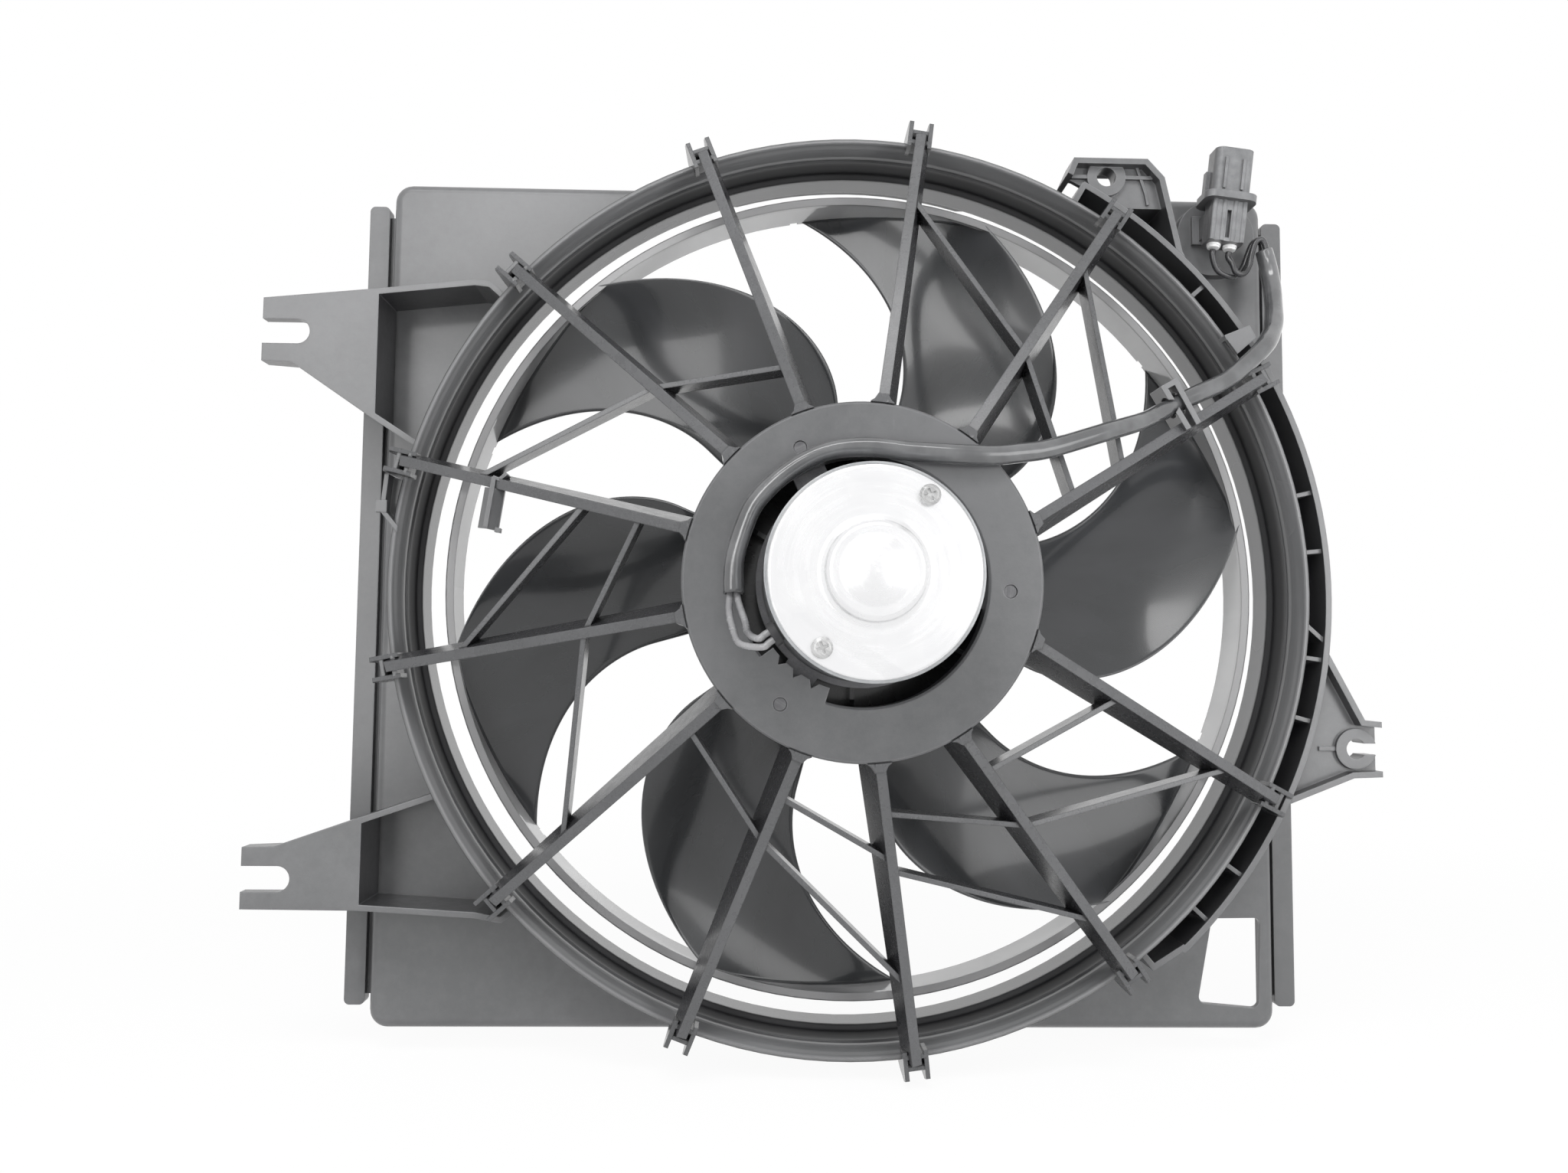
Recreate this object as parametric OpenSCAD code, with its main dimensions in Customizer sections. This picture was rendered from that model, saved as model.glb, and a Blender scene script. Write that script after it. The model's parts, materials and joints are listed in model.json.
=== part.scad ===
// Electric radiator cooling fan with its moulded shroud, brushed motor and lead.
// Every sub-part is drawn lying on its radiator side: x to the right, y up the
// radiator, z from the radiator face towards the engine. stand() then tips it upright,
// so that the engine side faces -Y and the fan axis is the Y axis of the finished part.

/* [Duct ring] */
// Inside radius of the barrel above its shoulder
ring_r = 187.2; // [180:0.1:190]
// Wall thickness of the ring
ring_t = 2.4; // [1.8:0.1:3]
// Height of the lip above the radiator face
ring_h = 51; // [48:0.5:56]
// Height of the shoulder that faces the engine
shoulder_h = 26; // [20:0.5:32]
// Width of the shoulder
shoulder_w = 2.2; // [1:0.1:3]
// Radius of the flared lip
flare_r = 16; // [12:0.5:20]
// Angle through which the lip flares outward
flare_a = 36; // [24:1:44]

/* [Tray] */
// Distance from the fan axis to the left edge
tray_left = 206.5; // [200:0.5:214]
// Distance from the fan axis to the right edge
tray_right = 190.8; // [186:0.5:198]
// Distance from the fan axis to the top edge
tray_top = 184.3; // [182:0.5:196]
// Distance from the fan axis to the bottom edge
tray_bottom = 190.8; // [186:0.5:200]
// Depth of the tray
tray_h = 14; // [12:0.5:18]
// Wall thickness of the moulding
wall = 2.5; // [2:0.1:3]
// Corner radius seen from the engine side
tray_corner = 8; // [6:0.5:12]
// Radius of the rounded front edge
tray_edge = 4; // [3:0.5:5]
// Width of each rail that rests on the radiator
rail_w = 9; // [7:0.5:12]
// Height of each rail
rail_h = 6; // [4:0.5:8]
// Web between a rail and the tray
rail_gap = 4; // [2:0.5:6]
// Distance that the rails stop short of the tray's ends
rail_short = 8; // [5:1:16]
// Width of the trough between the ring's wall and the outside of the trough wall
trough_gap = 17.3; // [15.5:0.1:20]
// Height of the ears and of the trough wall above the radiator face
ear_h = 39; // [34:0.5:43]

/* [Mounting points] */
// Width of the two open slots on the left
slot_w = 10.6; // [9:0.1:12]
// Depth of the two open slots
slot_depth = 20; // [16:0.5:24]
// Distance from the fan axis to the ends of the left ears
ear_reach = 252.5; // [248:0.5:258]
// Height of the upper slot above the fan axis
upper_slot_y = 108.2; // [106:0.1:110]
// Height of the lower slot below the fan axis
lower_slot_y = 122.6; // [120:0.1:124]
// Diameter of the hole in the upper right lug
lug_hole_d = 8.5; // [7:0.1:10]
// Diameter of the keyhole
keyhole_d = 8.5; // [7:0.1:10]
// Width of the keyhole's open slot
keyhole_slot = 4.8; // [4:0.1:6]
// Distance that the keyhole ear stands out from the trough wall
keyhole_out = 20.5; // [19:0.5:24]

/* [Spokes] */
// Thickness of a spoke
spoke_t = 4.2; // [3:0.1:5]
// Depth of a spoke at the motor plate
spoke_h = 19; // [15:0.5:22]
// Depth of a spoke at the duct ring
spoke_tip_h = 11; // [9:0.5:12]
// Height of the spokes above the lip of the duct ring
spoke_rise = 10; // [8:0.5:12]
// Lean of a spoke's back edge, clockwise from the engine side
spoke_lean = 15; // [8:1:20]
// Thickness of a brace
brace_t = 2; // [1.6:0.1:3]
// Depth of a brace
brace_h = 12; // [8:0.5:15]
// Spacing of the two fins on each spoke foot
fin_gap = 8.4; // [7:0.1:10]
// Thickness of a fin
fin_t = 1.8; // [1.4:0.1:2.4]

/* [Motor plate] */
// Height of the plate's front face above the radiator face
plate_top = 93.6; // [92:0.5:98]
// Outside radius of the plate
plate_r = 69.2; // [68:0.1:74]
// Radius of the hole that the motor passes through
plate_hole_r = 48; // [46.5:0.1:50]
// Thickness of the plate
plate_t = 4; // [3:0.1:5]
// Radius of the circle of motor screws
screw_circle_r = 56.4; // [55.5:0.1:58]
// Diameter of each hole for a motor screw
screw_hole_d = 5.2; // [5.1:0.1:5.6]

/* [Fan] */
// Number of blades
blades = 6; // [5:1:7]
// Distance from the ring's wall line in to the band
band_gap = 15.2; // [12:0.2:18]
// Wall thickness of the band
band_t = 2.2; // [1.6:0.1:3]
// Width of the rim on the engine side of the band
rim_w = 3.6; // [2.6:0.1:4.5]
// Height of the band's rear edge
band_z0 = 15.5; // [14:0.5:19]
// Height of the band's rim
band_z1 = 38.5; // [36:0.5:42]
// Radius of the hub
hub_r = 64; // [60:0.5:65]
// Height of the hub's closed face
hub_z0 = 30; // [28:0.5:33]
// Height of the hub's open edge
hub_z1 = 61; // [58:0.5:65]
// Thickness of a blade at its middle
blade_t = 2.8; // [2:0.1:4]
// Angle that a blade covers at its root
root_chord = 40; // [34:1:42]
// Angle that a blade covers at its tip
tip_chord = 28; // [22:1:34]
// Sweep of the leading edge from root to tip
sweep = 21.5; // [12:0.5:26]

/* [Motor] */
// Outside radius of the motor can
can_r = 38.3; // [37:0.1:39]
// Wall thickness of the can
can_t = 2.2; // [1.6:0.1:2.6]
// Height of the can's closed end
can_z0 = 56; // [54:0.5:57]
// Height of the can's open end
can_z1 = 137.2; // [136:0.2:140]
// Radius of the end cap
cap_r = 37.2; // [36.9:0.1:38]
// Thickness of the end cap
cap_t = 2; // [1.6:0.1:2.5]
// Radius of the bearing boss on the end cap
cap_boss_r = 17.4; // [16:0.1:18.5]
// Height of the bearing boss on the end cap
cap_boss_h = 6; // [5:0.5:8]
// Radius of the motor shaft
shaft_r = 4; // [3.5:0.1:4.5]
// Thickness of the motor flange
flange_t = 2; // [1.5:0.1:2.5]
// Radius of the armature
armature_r = 28.8; // [27:0.1:29]
// Length of the armature's core
core_len = 38; // [34:1:42]
// Radius of the commutator
commutator_r = 11; // [10:0.1:12]

/* [Connector] */
// Width of the connector's hood
hood_w = 17; // [16:0.5:19]
// Depth of the connector's hood
hood_d = 13; // [12:0.5:15]
// Length of the connector's hood
hood_len = 20.5; // [18:0.5:24]
// Diameter of the lead's sleeve
sleeve_d = 8; // [7:0.5:9]
// Diameter of one insulated wire
wire_d = 2.6; // [2.2:0.1:3]

/* [Hidden] */
$fn = 96;
eps = 0.01;
big = 300;

// Pieces that turn stay this far from pieces that don't
air_gap = 0.3;
// Running clearance of the shaft in its bearings
bearing_gap = 0.03;
// Clearance of parts that are pushed into one another
push_fit = 0.05;

// Duct ring
barrel_r = ring_r - shoulder_w;
barrel_out = barrel_r + ring_t;
wall_out = ring_r + ring_t + 0.6;
trough_r = wall_out + trough_gap;
keyhole_reach = trough_r + keyhole_out;
line_h = shoulder_h + 12.6;
line_w = 0.6;
flare_in = ring_r + 0.6 + line_w;
flare_z = ring_h - flare_r * sin(flare_a) - ring_t * 0.6;
ring_out = flare_in + flare_r * (1 - cos(flare_a)) + ring_t * cos(flare_a);
arc_steps = 6;

// Tray
skirt_r = barrel_out + 4;
plate_z = tray_h - wall;
rail_left_x = -(tray_left + rail_gap + rail_w);
rail_right_x = tray_right + rail_gap - 0.6;
trough_a0 = -47;
trough_a1 = 60.7;
rib_angles = [41.3, 12.6, 5.4, -7.8, -15.3, -35.6, -42.3];

// Spokes stand on 12 of 13 equal places. The place at 3 o'clock is empty, and the two
// beside it lean towards it at the motor plate.
spoke_pitch = 360 / 13;
spoke_count = 12;
ring_shift = [0, 0, -1, -1, -1, -1, -3.5, 0, 0, 0.7, 1.4, 1.5];
plate_shift = [-8, -0.8, 1, -0.8, -1.5, -2, -2, -0.4, 1, -1.5, -1.5, 9];
function ring_angle(i) = (i + 1) * spoke_pitch + ring_shift[i];
function plate_angle(i) = (i + 1) * spoke_pitch + plate_shift[i];
spoke_tip_r = ring_out - 1;
spoke_tip_z = ring_h + spoke_rise;
function polar(r, a, z) = [r * cos(a), r * sin(a), z];
function flat(r, a) = [r * cos(a), r * sin(a)];
function spoke_root(i) = polar(plate_r - 3, plate_angle(i), plate_top + 3 * spoke_slope);
function spoke_tip(i) = polar(spoke_tip_r, ring_angle(i), spoke_tip_z);
spoke_slope = (plate_top - spoke_tip_z) / (spoke_tip_r - plate_r);
function along(i, r) =
    let (t = (r - plate_r + 3) / (spoke_tip_r - plate_r + 3))
    spoke_root(i) * (1 - t) + spoke_tip(i) * t;
// Each brace runs from one spoke at a radius to another spoke at a radius
braces = [[4, 112, 3, 89], [4, 112, 5, 159], [5, 112, 6, 162], [5, 89, 6, 109],
          [6, 109, 7, 154], [7, 87, 8, 107], [8, 107, 9, 159], [8, 88, 9, 108],
          [9, 112, 10, 163], [9, 89, 10, 114], [10, 114, 11, 167], [10, 87, 11, 111],
          [2, 162, 1, 114], [1, 114, 0, 90], [1, 163, 0, 115]];
function brace_depth(r) = brace_h * (1.1 - 0.35 * (r - plate_r) / (spoke_tip_r - plate_r));
foot_r = wall_out + 11.3;
stay_z = 71;
hook_z = 58;
clip_z = 72.6;

// Motor plate
rim_h = spoke_h + 0.6;
boss_h = 6;
screw_angles = [115.6, -3.5, -123.6];
flange_z1 = plate_top - plate_t - boss_h;
flange_z0 = flange_z1 - flange_t;
screw_d = screw_hole_d - 0.2;

// Fan
band_r = ring_r - band_gap;
band_in = band_r - rim_w;
hub_t = 2.6;
fan_boss_r = 14;
fan_boss_z1 = can_z0 - 6;
insert_r = 8;
lead_a0 = 15.5;
blade_stations = 9;
blade_points = 9;

// Motor
can_in = can_r - can_t;
can_boss_r = 11;
can_boss_h = 5;
cap_top = can_z1 + cap_t;
boss_top = cap_top + cap_boss_h;
bolt_r = 32;
bolt_a = 55.2;
bolt_d = 4;
bolt_head_d = 7.4;
spigot_h = 3;
core_z0 = 70;
core_z1 = core_z0 + core_len;
slots = 12;
slot_r = 21.5;
slot_d = 6.6;
magnet_in = armature_r + 0.7;
commutator_z1 = can_z1 - spigot_h - 4;
commutator_z0 = commutator_z1 - 12;
bearing_r = 8;
bearing_len = 5.5;
front_bearing_z = can_z0 - can_boss_h + 1.2;
rear_bearing_z = cap_top;
shaft_z0 = hub_z0 - 10;
shaft_z1 = rear_bearing_z + bearing_len + 0.6;
thread_r = shaft_r - 1;
washer_t = 1.5;
nut_t = 5;
brush_a = bolt_a + 90;
brush_w = 6;
brush_h = 8;
brush_z = commutator_z0 + 2;
brush_len = 9;
plate_in = 14;
grommet_a = 212;
grommet_z = can_z1 - 12;
grommet_d = 9;

// Connector, standing in front of the oval boss with its mouth at the top
conn_x = 166.6;
conn_y = 176.5;
conn_z = 34;
conn_lean = 7;
boss_z = tray_h + 6;
rear_len = 21.5;
collar_t = 3.2;
socket_wall = 1.5;
socket_deep = 17;
pin_pitch = 7.2;
seal_d = 5.2;
clip_gap = 0.3;

// Centre line of the sleeved lead, from the motor to the connector. The points are
// chosen by eye along the real run of the lead: x, y and height above the radiator face.
lead_path = [[-49, -6, 104], [-49, 6, 102.5], [-46, 18, 100.5], [-41, 29, 99], [-30, 40, 98.4],
             [-16, 48, 98.2], [0, 50.5, 98], [20, 49, 98], [46, 48, 97.6], [60, 49.5, 96],
             [72, 52, 93], [94, 59.5, 87], [112, 66, 79], [122, 71, 73.5], [131, 76, 70],
             [140, 80.5, 67.5], [153, 87, 63.5], [163, 95, 60.5], [171, 102.5, 57.5],
             [177, 109.5, 52], [181, 117, 46.5], [184, 127, 40], [186, 138, 34],
             [185.5, 148, 31.5], [184, 154, 31.5]];
wire_a_path = [[-47.6, -2, 103.5], [-47.6, -7, 104.4], [-46.6, -11, 107],
               [-44.6, -16.5, 112], [-43.4, -21, 119]];
wire_b_path = [[-50.4, -2, 103.5], [-50.4, -7, 104.4], [-50.6, -12, 108],
               [-49.4, -18, 113], [-46.4, -24.6, 120]];
wire_c_path = [[161.6, 145.4, 33.2], [165, 142.6, 32.6], [170.5, 142.2, 31.8],
               [174.6, 146.4, 30.8], [177.2, 152.4, 30.2], [179.6, 157.6, 30],
               [182.4, 159, 30], [184, 156, 30.1], [184.8, 151, 30.1]];
wire_d_path = [[168.2, 146.2, 35.4], [169.8, 142.6, 35.4], [173.4, 142.2, 34.8],
               [176.2, 146.4, 34], [177.8, 152.4, 33.4], [179.8, 157.4, 33.1],
               [182.4, 158.6, 33], [184, 156, 32.9], [184.8, 151, 32.9]];

// Tips a sub-part from its drawing position to the way it stands on the radiator
module stand() {
    rotate([90, 0, 0]) children();
}

// Slanted vane whose front edge runs from p0 to p1, with depths h0 and h1 behind it
module vane(p0, p1, h0, h1, t, lean) {
    run = norm([p1[0] - p0[0], p1[1] - p0[1]]);
    len = norm(p1 - p0);
    translate(p0)
        rotate([0, 0, atan2(p1[1] - p0[1], p1[0] - p0[0])])
            rotate([0, -atan2(p1[2] - p0[2], run), 0])
                rotate([-lean, 0, 0])
                    rotate([90, 0, 0])
                        translate([0, 0, -t / 2])
                            linear_extrude(t)
                                polygon([[0, 0], [len, 0], [len, -h1], [0, -h0]]);
}

// Vane grown by 10 mm towards one side, to trim what runs past it
module vane_side(i, side) {
    p0 = spoke_root(i);
    p1 = spoke_tip(i);
    run = norm([p1[0] - p0[0], p1[1] - p0[1]]);
    len = norm(p1 - p0);
    shift = side > 0 ? -10 : 0;
    translate(p0)
        rotate([0, 0, atan2(p1[1] - p0[1], p1[0] - p0[0])])
            rotate([0, -atan2(p1[2] - p0[2], run), 0])
                rotate([-spoke_lean, 0, 0])
                    rotate([90, 0, 0])
                        translate([0, 0, shift - spoke_t / 2])
                            linear_extrude(spoke_t + 10)
                                polygon([[0, 6], [len, 6], [len, -spoke_tip_h - 9],
                                    [0, -spoke_h - 9]]);
}

// Tube swept along a list of points, with its rings square to the path
module tube(path, d, sides) {
    n = len(path);
    function unit(v) = v / norm(v);
    function heading(i) = unit(path[min(i + 1, n - 1)] - path[max(i - 1, 0)]);
    function side(i) = unit(cross(heading(i), [0.13, 0.21, 1]));
    function ring(i) =
        let (h = heading(i), u = side(i), v = cross(h, u))
        [for (k = [0:sides - 1])
            path[i] + d / 2 * (cos(k * 360 / sides) * u + sin(k * 360 / sides) * v)];
    points = [for (i = [0:n - 1]) each ring(i)];
    skin = [for (i = [0:n - 2], k = [0:sides - 1])
        let (a = i * sides + k, b = a + sides, c = i * sides + (k + 1) % sides, d = c + sides)
        each [[a, b, d], [a, d, c]]];
    caps = [[for (k = [0:sides - 1]) k],
            [for (k = [sides - 1:-1:0]) (n - 1) * sides + k]];
    polyhedron(points, concat(skin, caps), convexity = 6);
}

// Points added between those of a path, on a smooth curve through them
function smooth(path, steps) =
    let (n = len(path))
    concat([for (i = [0:n - 2], s = [0:steps - 1])
        let (a = path[max(i - 1, 0)], b = path[i], c = path[i + 1], e = path[min(i + 2, n - 1)],
             t = s / steps)
        0.5 * (2 * b + (c - a) * t + (2 * a - 5 * b + 4 * c - e) * t * t
            + (3 * b - a - 3 * c + e) * t * t * t)],
        [path[n - 1]]);

// Rectangle with rounded corners, drawn between two corners
module round_rect(x0, y0, x1, y1, r) {
    translate([x0 + r, y0]) square([x1 - x0 - 2 * r, y1 - y0]);
    translate([x0, y0 + r]) square([x1 - x0, y1 - y0 - 2 * r]);
    for (x = [x0 + r, x1 - r], y = [y0 + r, y1 - r])
        translate([x, y]) circle(r, $fn = 48);
}

// Outline of the ring's outer side, as a solid that neighbours are cut back by
module ring_core() {
    rotate_extrude()
        polygon(concat([[0, -1], [barrel_out, -1]], ring_outer(), [[flare_in, ring_h + 1],
            [0, ring_h + 1]]));
}

function flare(a, r) = [flare_in + flare_r - r * cos(a), flare_z + r * sin(a)];
function ring_outer() = concat(
    [[barrel_out, shoulder_h - 2], [wall_out, shoulder_h - 2], [wall_out, flare_z]],
    [for (i = [0:arc_steps]) flare(i * flare_a / arc_steps, flare_r - ring_t)]);
function ring_inner() = concat(
    [[barrel_r, shoulder_h], [ring_r, shoulder_h + 0.6], [flare_in - line_w, line_h - 0.4],
     [flare_in, line_h]],
    [for (i = [0:arc_steps]) flare(i * flare_a / arc_steps, flare_r)]);

// Solid shape of the tray with its rounded front edge, taken in by a distance
module pan(inset) {
    x0 = -tray_left + inset;
    x1 = tray_right - inset;
    y0 = -tray_bottom + inset;
    y1 = tray_top - inset;
    h = tray_h - inset;
    c = tray_corner - inset;
    e = tray_edge - inset;
    linear_extrude(h - e) round_rect(x0, y0, x1, y1, c);
    linear_extrude(h) round_rect(x0 + e, y0 + e, x1 - e, y1 - e, c - e);
    for (y = [y0 + e, y1 - e])
        translate([x0 + c, y, h - e]) rotate([0, 90, 0]) cylinder(r = e, h = x1 - x0 - 2 * c);
    for (x = [x0 + e, x1 - e])
        translate([x, y0 + c, h - e]) rotate([-90, 0, 0]) cylinder(r = e, h = y1 - y0 - 2 * c);
    for (x = [x0 + c, x1 - c], y = [y0 + c, y1 - c])
        translate([x, y, h - e]) rotate_extrude() translate([c - e, 0]) circle(e);
}

// Part of the tray that bulges round the ring on the right
module bulge(inset) {
    intersection() {
        cylinder(r = trough_r - inset, h = tray_h - inset);
        translate([tray_right - 40, -big / 2, -1]) cube([100, big, tray_h + 2]);
    }
}

module rail(x, left) {
    y0 = -tray_bottom + rail_short;
    y1 = tray_top - rail_short;
    web_x = left ? x + rail_w - 1 : x - rail_gap - 1;
    linear_extrude(rail_h) round_rect(x, y0, x + rail_w, y1, 2.4);
    translate([web_x, y0 + 4, 0])
        cube([rail_gap + 2, y1 - y0 - 8, wall]);
}

// Plan outline of a wall of even thickness along a row of points, with mitred corners
function across(p, q) = let (d = (q - p) / norm(q - p)) [-d[1], d[0]];
function mitre(points, i, t) =
    let (n = len(points),
         a = across(points[max(i - 1, 0)], points[max(i, 1)]),
         b = across(points[min(i, n - 2)], points[min(i + 1, n - 1)]))
    t / 2 * (a + b) / (1 + a * b);
function band(points, t) =
    let (n = len(points))
    concat([for (i = [0:n - 1]) points[i] + mitre(points, i, t)],
           [for (i = [n - 1:-1:0]) points[i] - mitre(points, i, t)]);

// Upright wall through a row of plan points
module wall_run(points, lo, hi, t) {
    translate([0, 0, lo]) linear_extrude(hi - lo) polygon(band(points, t));
}

// Solid of the duct ring, from its wall line to the axis or only its wall
module ring_wall() {
    outer = ring_outer();
    rotate_extrude($fn = 180)
        polygon(concat([[barrel_out, plate_z], [barrel_r, plate_z]], ring_inner(),
            [for (i = [len(outer) - 1:-1:0]) outer[i]]));
}

module window_cut() {
    p = [[163, -142.4], [184.8, -142.1], [183.4, -181.4], [156.2, -179]];
    r = 3;
    n = len(p);
    function unit(v) = v / norm(v);
    function to_next(i) = unit(p[(i + 1) % n] - p[i]);
    function to_last(i) = unit(p[(i + n - 1) % n] - p[i]);
    translate([0, 0, -1])
        linear_extrude(tray_h + 2) {
            polygon([for (i = [0:n - 1]) each [p[i] + r * to_last(i), p[i] + r * to_next(i)]]);
            for (i = [0:n - 1])
                translate(p[i] + r * (to_next(i) + to_last(i))) circle(r, $fn = 24);
        }
}

module shroud_tray() {
    color([0.2, 0.2, 0.21])
        stand() {
            difference() {
                union() {
                    pan(0);
                    cylinder(r = skirt_r, h = tray_h);
                    bulge(0);
                    // Oval boss behind the connector
                    linear_extrude(boss_z)
                        round_rect(conn_x - 17, conn_y - 30, conn_x + 18, conn_y + 4, 15);
                    rail(rail_left_x, true);
                    rail(rail_right_x, false);
                }
                translate([0, 0, -eps]) {
                    pan(wall);
                    cylinder(r = skirt_r - wall, h = plate_z);
                    bulge(wall);
                }
                translate([0, 0, -1]) cylinder(r = barrel_out, h = tray_h + 2);
                window_cut();
            }
        }
}

module duct_ring() {
    color([0.19, 0.19, 0.2])
        stand() ring_wall();
}

module trough_wall() {
    mid_r = trough_r - wall / 2;
    color([0.2, 0.2, 0.21])
        stand()
            difference() {
                union() {
                    translate([0, 0, tray_h])
                        linear_extrude(ear_h - tray_h) {
                            intersection() {
                                difference() {
                                    circle(r = trough_r);
                                    circle(r = trough_r - wall);
                                }
                                polygon([[0, 0], flat(big, trough_a0), flat(big, 0),
                                    flat(big, trough_a1)]);
                            }
                            // End walls that close the trough against the ring
                            polygon(band([flat(mid_r - 0.6, trough_a0 + 0.6), flat(trough_r - 4.5, -50.8),
                                flat(barrel_r, -50.9)], wall));
                            polygon(band([flat(mid_r + 0.6, trough_a1 - 0.2),
                                flat(barrel_r, trough_a1 - 0.2)], wall));
                        }
                    for (a = rib_angles)
                        rotate([0, 0, a])
                            translate([barrel_r, -0.9, tray_h])
                                cube([mid_r - barrel_r, 1.8, ear_h - tray_h - 2]);
                    // Slanting rib between the two spokes beside the empty place
                    wall_run([flat(barrel_r, -0.6), flat(mid_r, -5.6)], tray_h, ear_h - 2, 1.8);
                }
                cylinder(r = wall_out, h = 60, $fn = 180);
            }
}

// Space of the tray's left side with its rounded front edge
module tray_edge_space() {
    x = -tray_left + tray_edge;
    z = tray_h - tray_edge;
    translate([0, big, 0])
        rotate([90, 0, 0])
            linear_extrude(2 * big)
                polygon(concat([[x - tray_edge, -1]],
                    [for (a = [0:15:90]) [x - tray_edge * cos(a), z + tray_edge * sin(a)]],
                    [[-100, tray_h], [-100, -1]]));
}

// Space round a left ear: below its sloping underside and beyond its open end
module ear_space() {
    x0 = -ear_reach;
    x1 = -tray_left - 0.3;
    translate([0, big, 0])
        rotate([90, 0, 0])
            linear_extrude(2 * big)
                polygon([[x0 - 20, -5], [x1, -5], [x1, ear_h - 17], [x0, ear_h - 8],
                    [x0, ear_h + 20], [x0 - 20, ear_h + 20]]);
}

// Flat face of a left ear with its open slot
module slotted_face(outline, slot_y) {
    end_x = -ear_reach + slot_depth - slot_w / 2;
    translate([0, 0, ear_h - wall])
        linear_extrude(wall)
            difference() {
                polygon(outline);
                translate([end_x, slot_y]) circle(d = slot_w);
                translate([-ear_reach - 2, slot_y - slot_w / 2])
                    square([end_x + ear_reach + 2, slot_w]);
            }
}

// Raised lip that stiffens an open slot on the underside of its face
module slot_lip(slot_y) {
    end_x = -ear_reach + slot_depth - slot_w / 2;
    translate([0, 0, ear_h - wall - 3])
        linear_extrude(3)
            difference() {
                union() {
                    translate([end_x, slot_y]) circle(d = slot_w + 4.4);
                    translate([-ear_reach - 1, slot_y - slot_w / 2 - 2.2])
                        square([end_x + ear_reach + 1, slot_w + 4.4]);
                }
                translate([end_x, slot_y]) circle(d = slot_w);
                translate([-ear_reach - 2, slot_y - slot_w / 2])
                    square([end_x + ear_reach + 2, slot_w]);
            }
}

module upper_left_ear() {
    h = wall / 2;
    foot_z = tray_h - tray_edge;
    x_end = -tray_left + h + 0.3;
    top = [-ear_reach - 1, 122.5 - h];
    top_in = [x_end, 127.4 - h];
    low = [-ear_reach - 1, 95.3 + h];
    low_mid = [-239.6, 94.9 + h];
    low_in = [x_end, 71.3 + h];
    color([0.2, 0.2, 0.21])
        stand()
            difference() {
                union() {
                    slotted_face([top, top_in, low_in, low_mid, low], upper_slot_y);
                    slot_lip(upper_slot_y);
                    wall_run([top, top_in, [-163, 132.1 - h], [-156.4, 131.4 - h],
                        [-142.4, 118]], foot_z, ear_h, wall);
                    wall_run([low, low_mid, low_in, [-178.5, 55.5]], foot_z, ear_h, wall);
                    wall_run([top_in, low_in], foot_z, ear_h, wall);
                    // Rib across the underside of the face
                    wall_run([[-ear_reach + slot_depth, 109], [x_end, 109]], ear_h - 9,
                        ear_h - 1, 1.8);
                }
                cylinder(r = wall_out, h = 60, $fn = 180);
                tray_edge_space();
                ear_space();
            }
}

module lower_left_ear() {
    h = wall / 2;
    foot_z = tray_h - tray_edge;
    x_end = -tray_left + h + 0.3;
    top = [-ear_reach - 1, -109.6 - h];
    top_mid = [-239.2, -109.3 - h];
    top_in = [x_end, -97.4 - h];
    low = [-ear_reach - 1, -135 + h];
    low_in = [x_end, -135.4 + h];
    color([0.2, 0.2, 0.21])
        stand()
            difference() {
                union() {
                    slotted_face([top, top_mid, top_in, low_in, low], -lower_slot_y);
                    slot_lip(-lower_slot_y);
                    wall_run([top, top_mid, top_in, [-162, -84]], foot_z, ear_h, wall);
                    wall_run([low, low_in, [-156, -138.3 + h], [-145, -139], [-133, -129.6]],
                        foot_z, ear_h, wall);
                    wall_run([top_in, low_in], foot_z, ear_h, wall);
                    // Rib across the underside of the face
                    wall_run([[-ear_reach + slot_depth, -121], [x_end, -121]], ear_h - 9,
                        ear_h - 1, 1.8);
                }
                cylinder(r = wall_out, h = 60, $fn = 180);
                tray_edge_space();
                ear_space();
            }
}

module keyhole_ear() {
    h = wall / 2;
    face_z = ear_h - 6;
    hole = [keyhole_reach - 9.2, -66];
    top = [keyhole_reach + 1, -54.2 - h];
    top_mid = [trough_r + 12.5, -54.6];
    top_in = [trough_r - 4, -23.5];
    low = [keyhole_reach + 1, -77.6 + h];
    low_mid = [trough_r + 7.9, -76.9];
    low_in = [trough_r - 21.5, -88.5];
    color([0.2, 0.2, 0.21])
        stand()
            difference() {
                union() {
                    translate([0, 0, face_z - wall])
                        linear_extrude(wall)
                            polygon([top_in, top_mid, top, low, low_mid, low_in]);
                    wall_run([top_in, top_mid, top], 20, ear_h, wall);
                    wall_run([low, low_mid, low_in], 20, ear_h, wall);
                    // Thick ring round the keyhole
                    translate([hole[0], hole[1], face_z - 8])
                        cylinder(d = keyhole_d + 9, h = 10);
                    wall_run([[trough_r - 4.5, -66], [hole[0] - 6, -66]], face_z - 7, face_z + 1, 1.8);
                }
                translate([keyhole_reach, -100, 0]) cube([20, 100, 60]);
                translate([hole[0], hole[1], 0]) cylinder(d = keyhole_d, h = 60);
                translate([hole[0], hole[1] - keyhole_slot / 2, 0])
                    cube([20, keyhole_slot, 60]);
                cylinder(r = trough_r, h = 80);
            }
}

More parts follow.
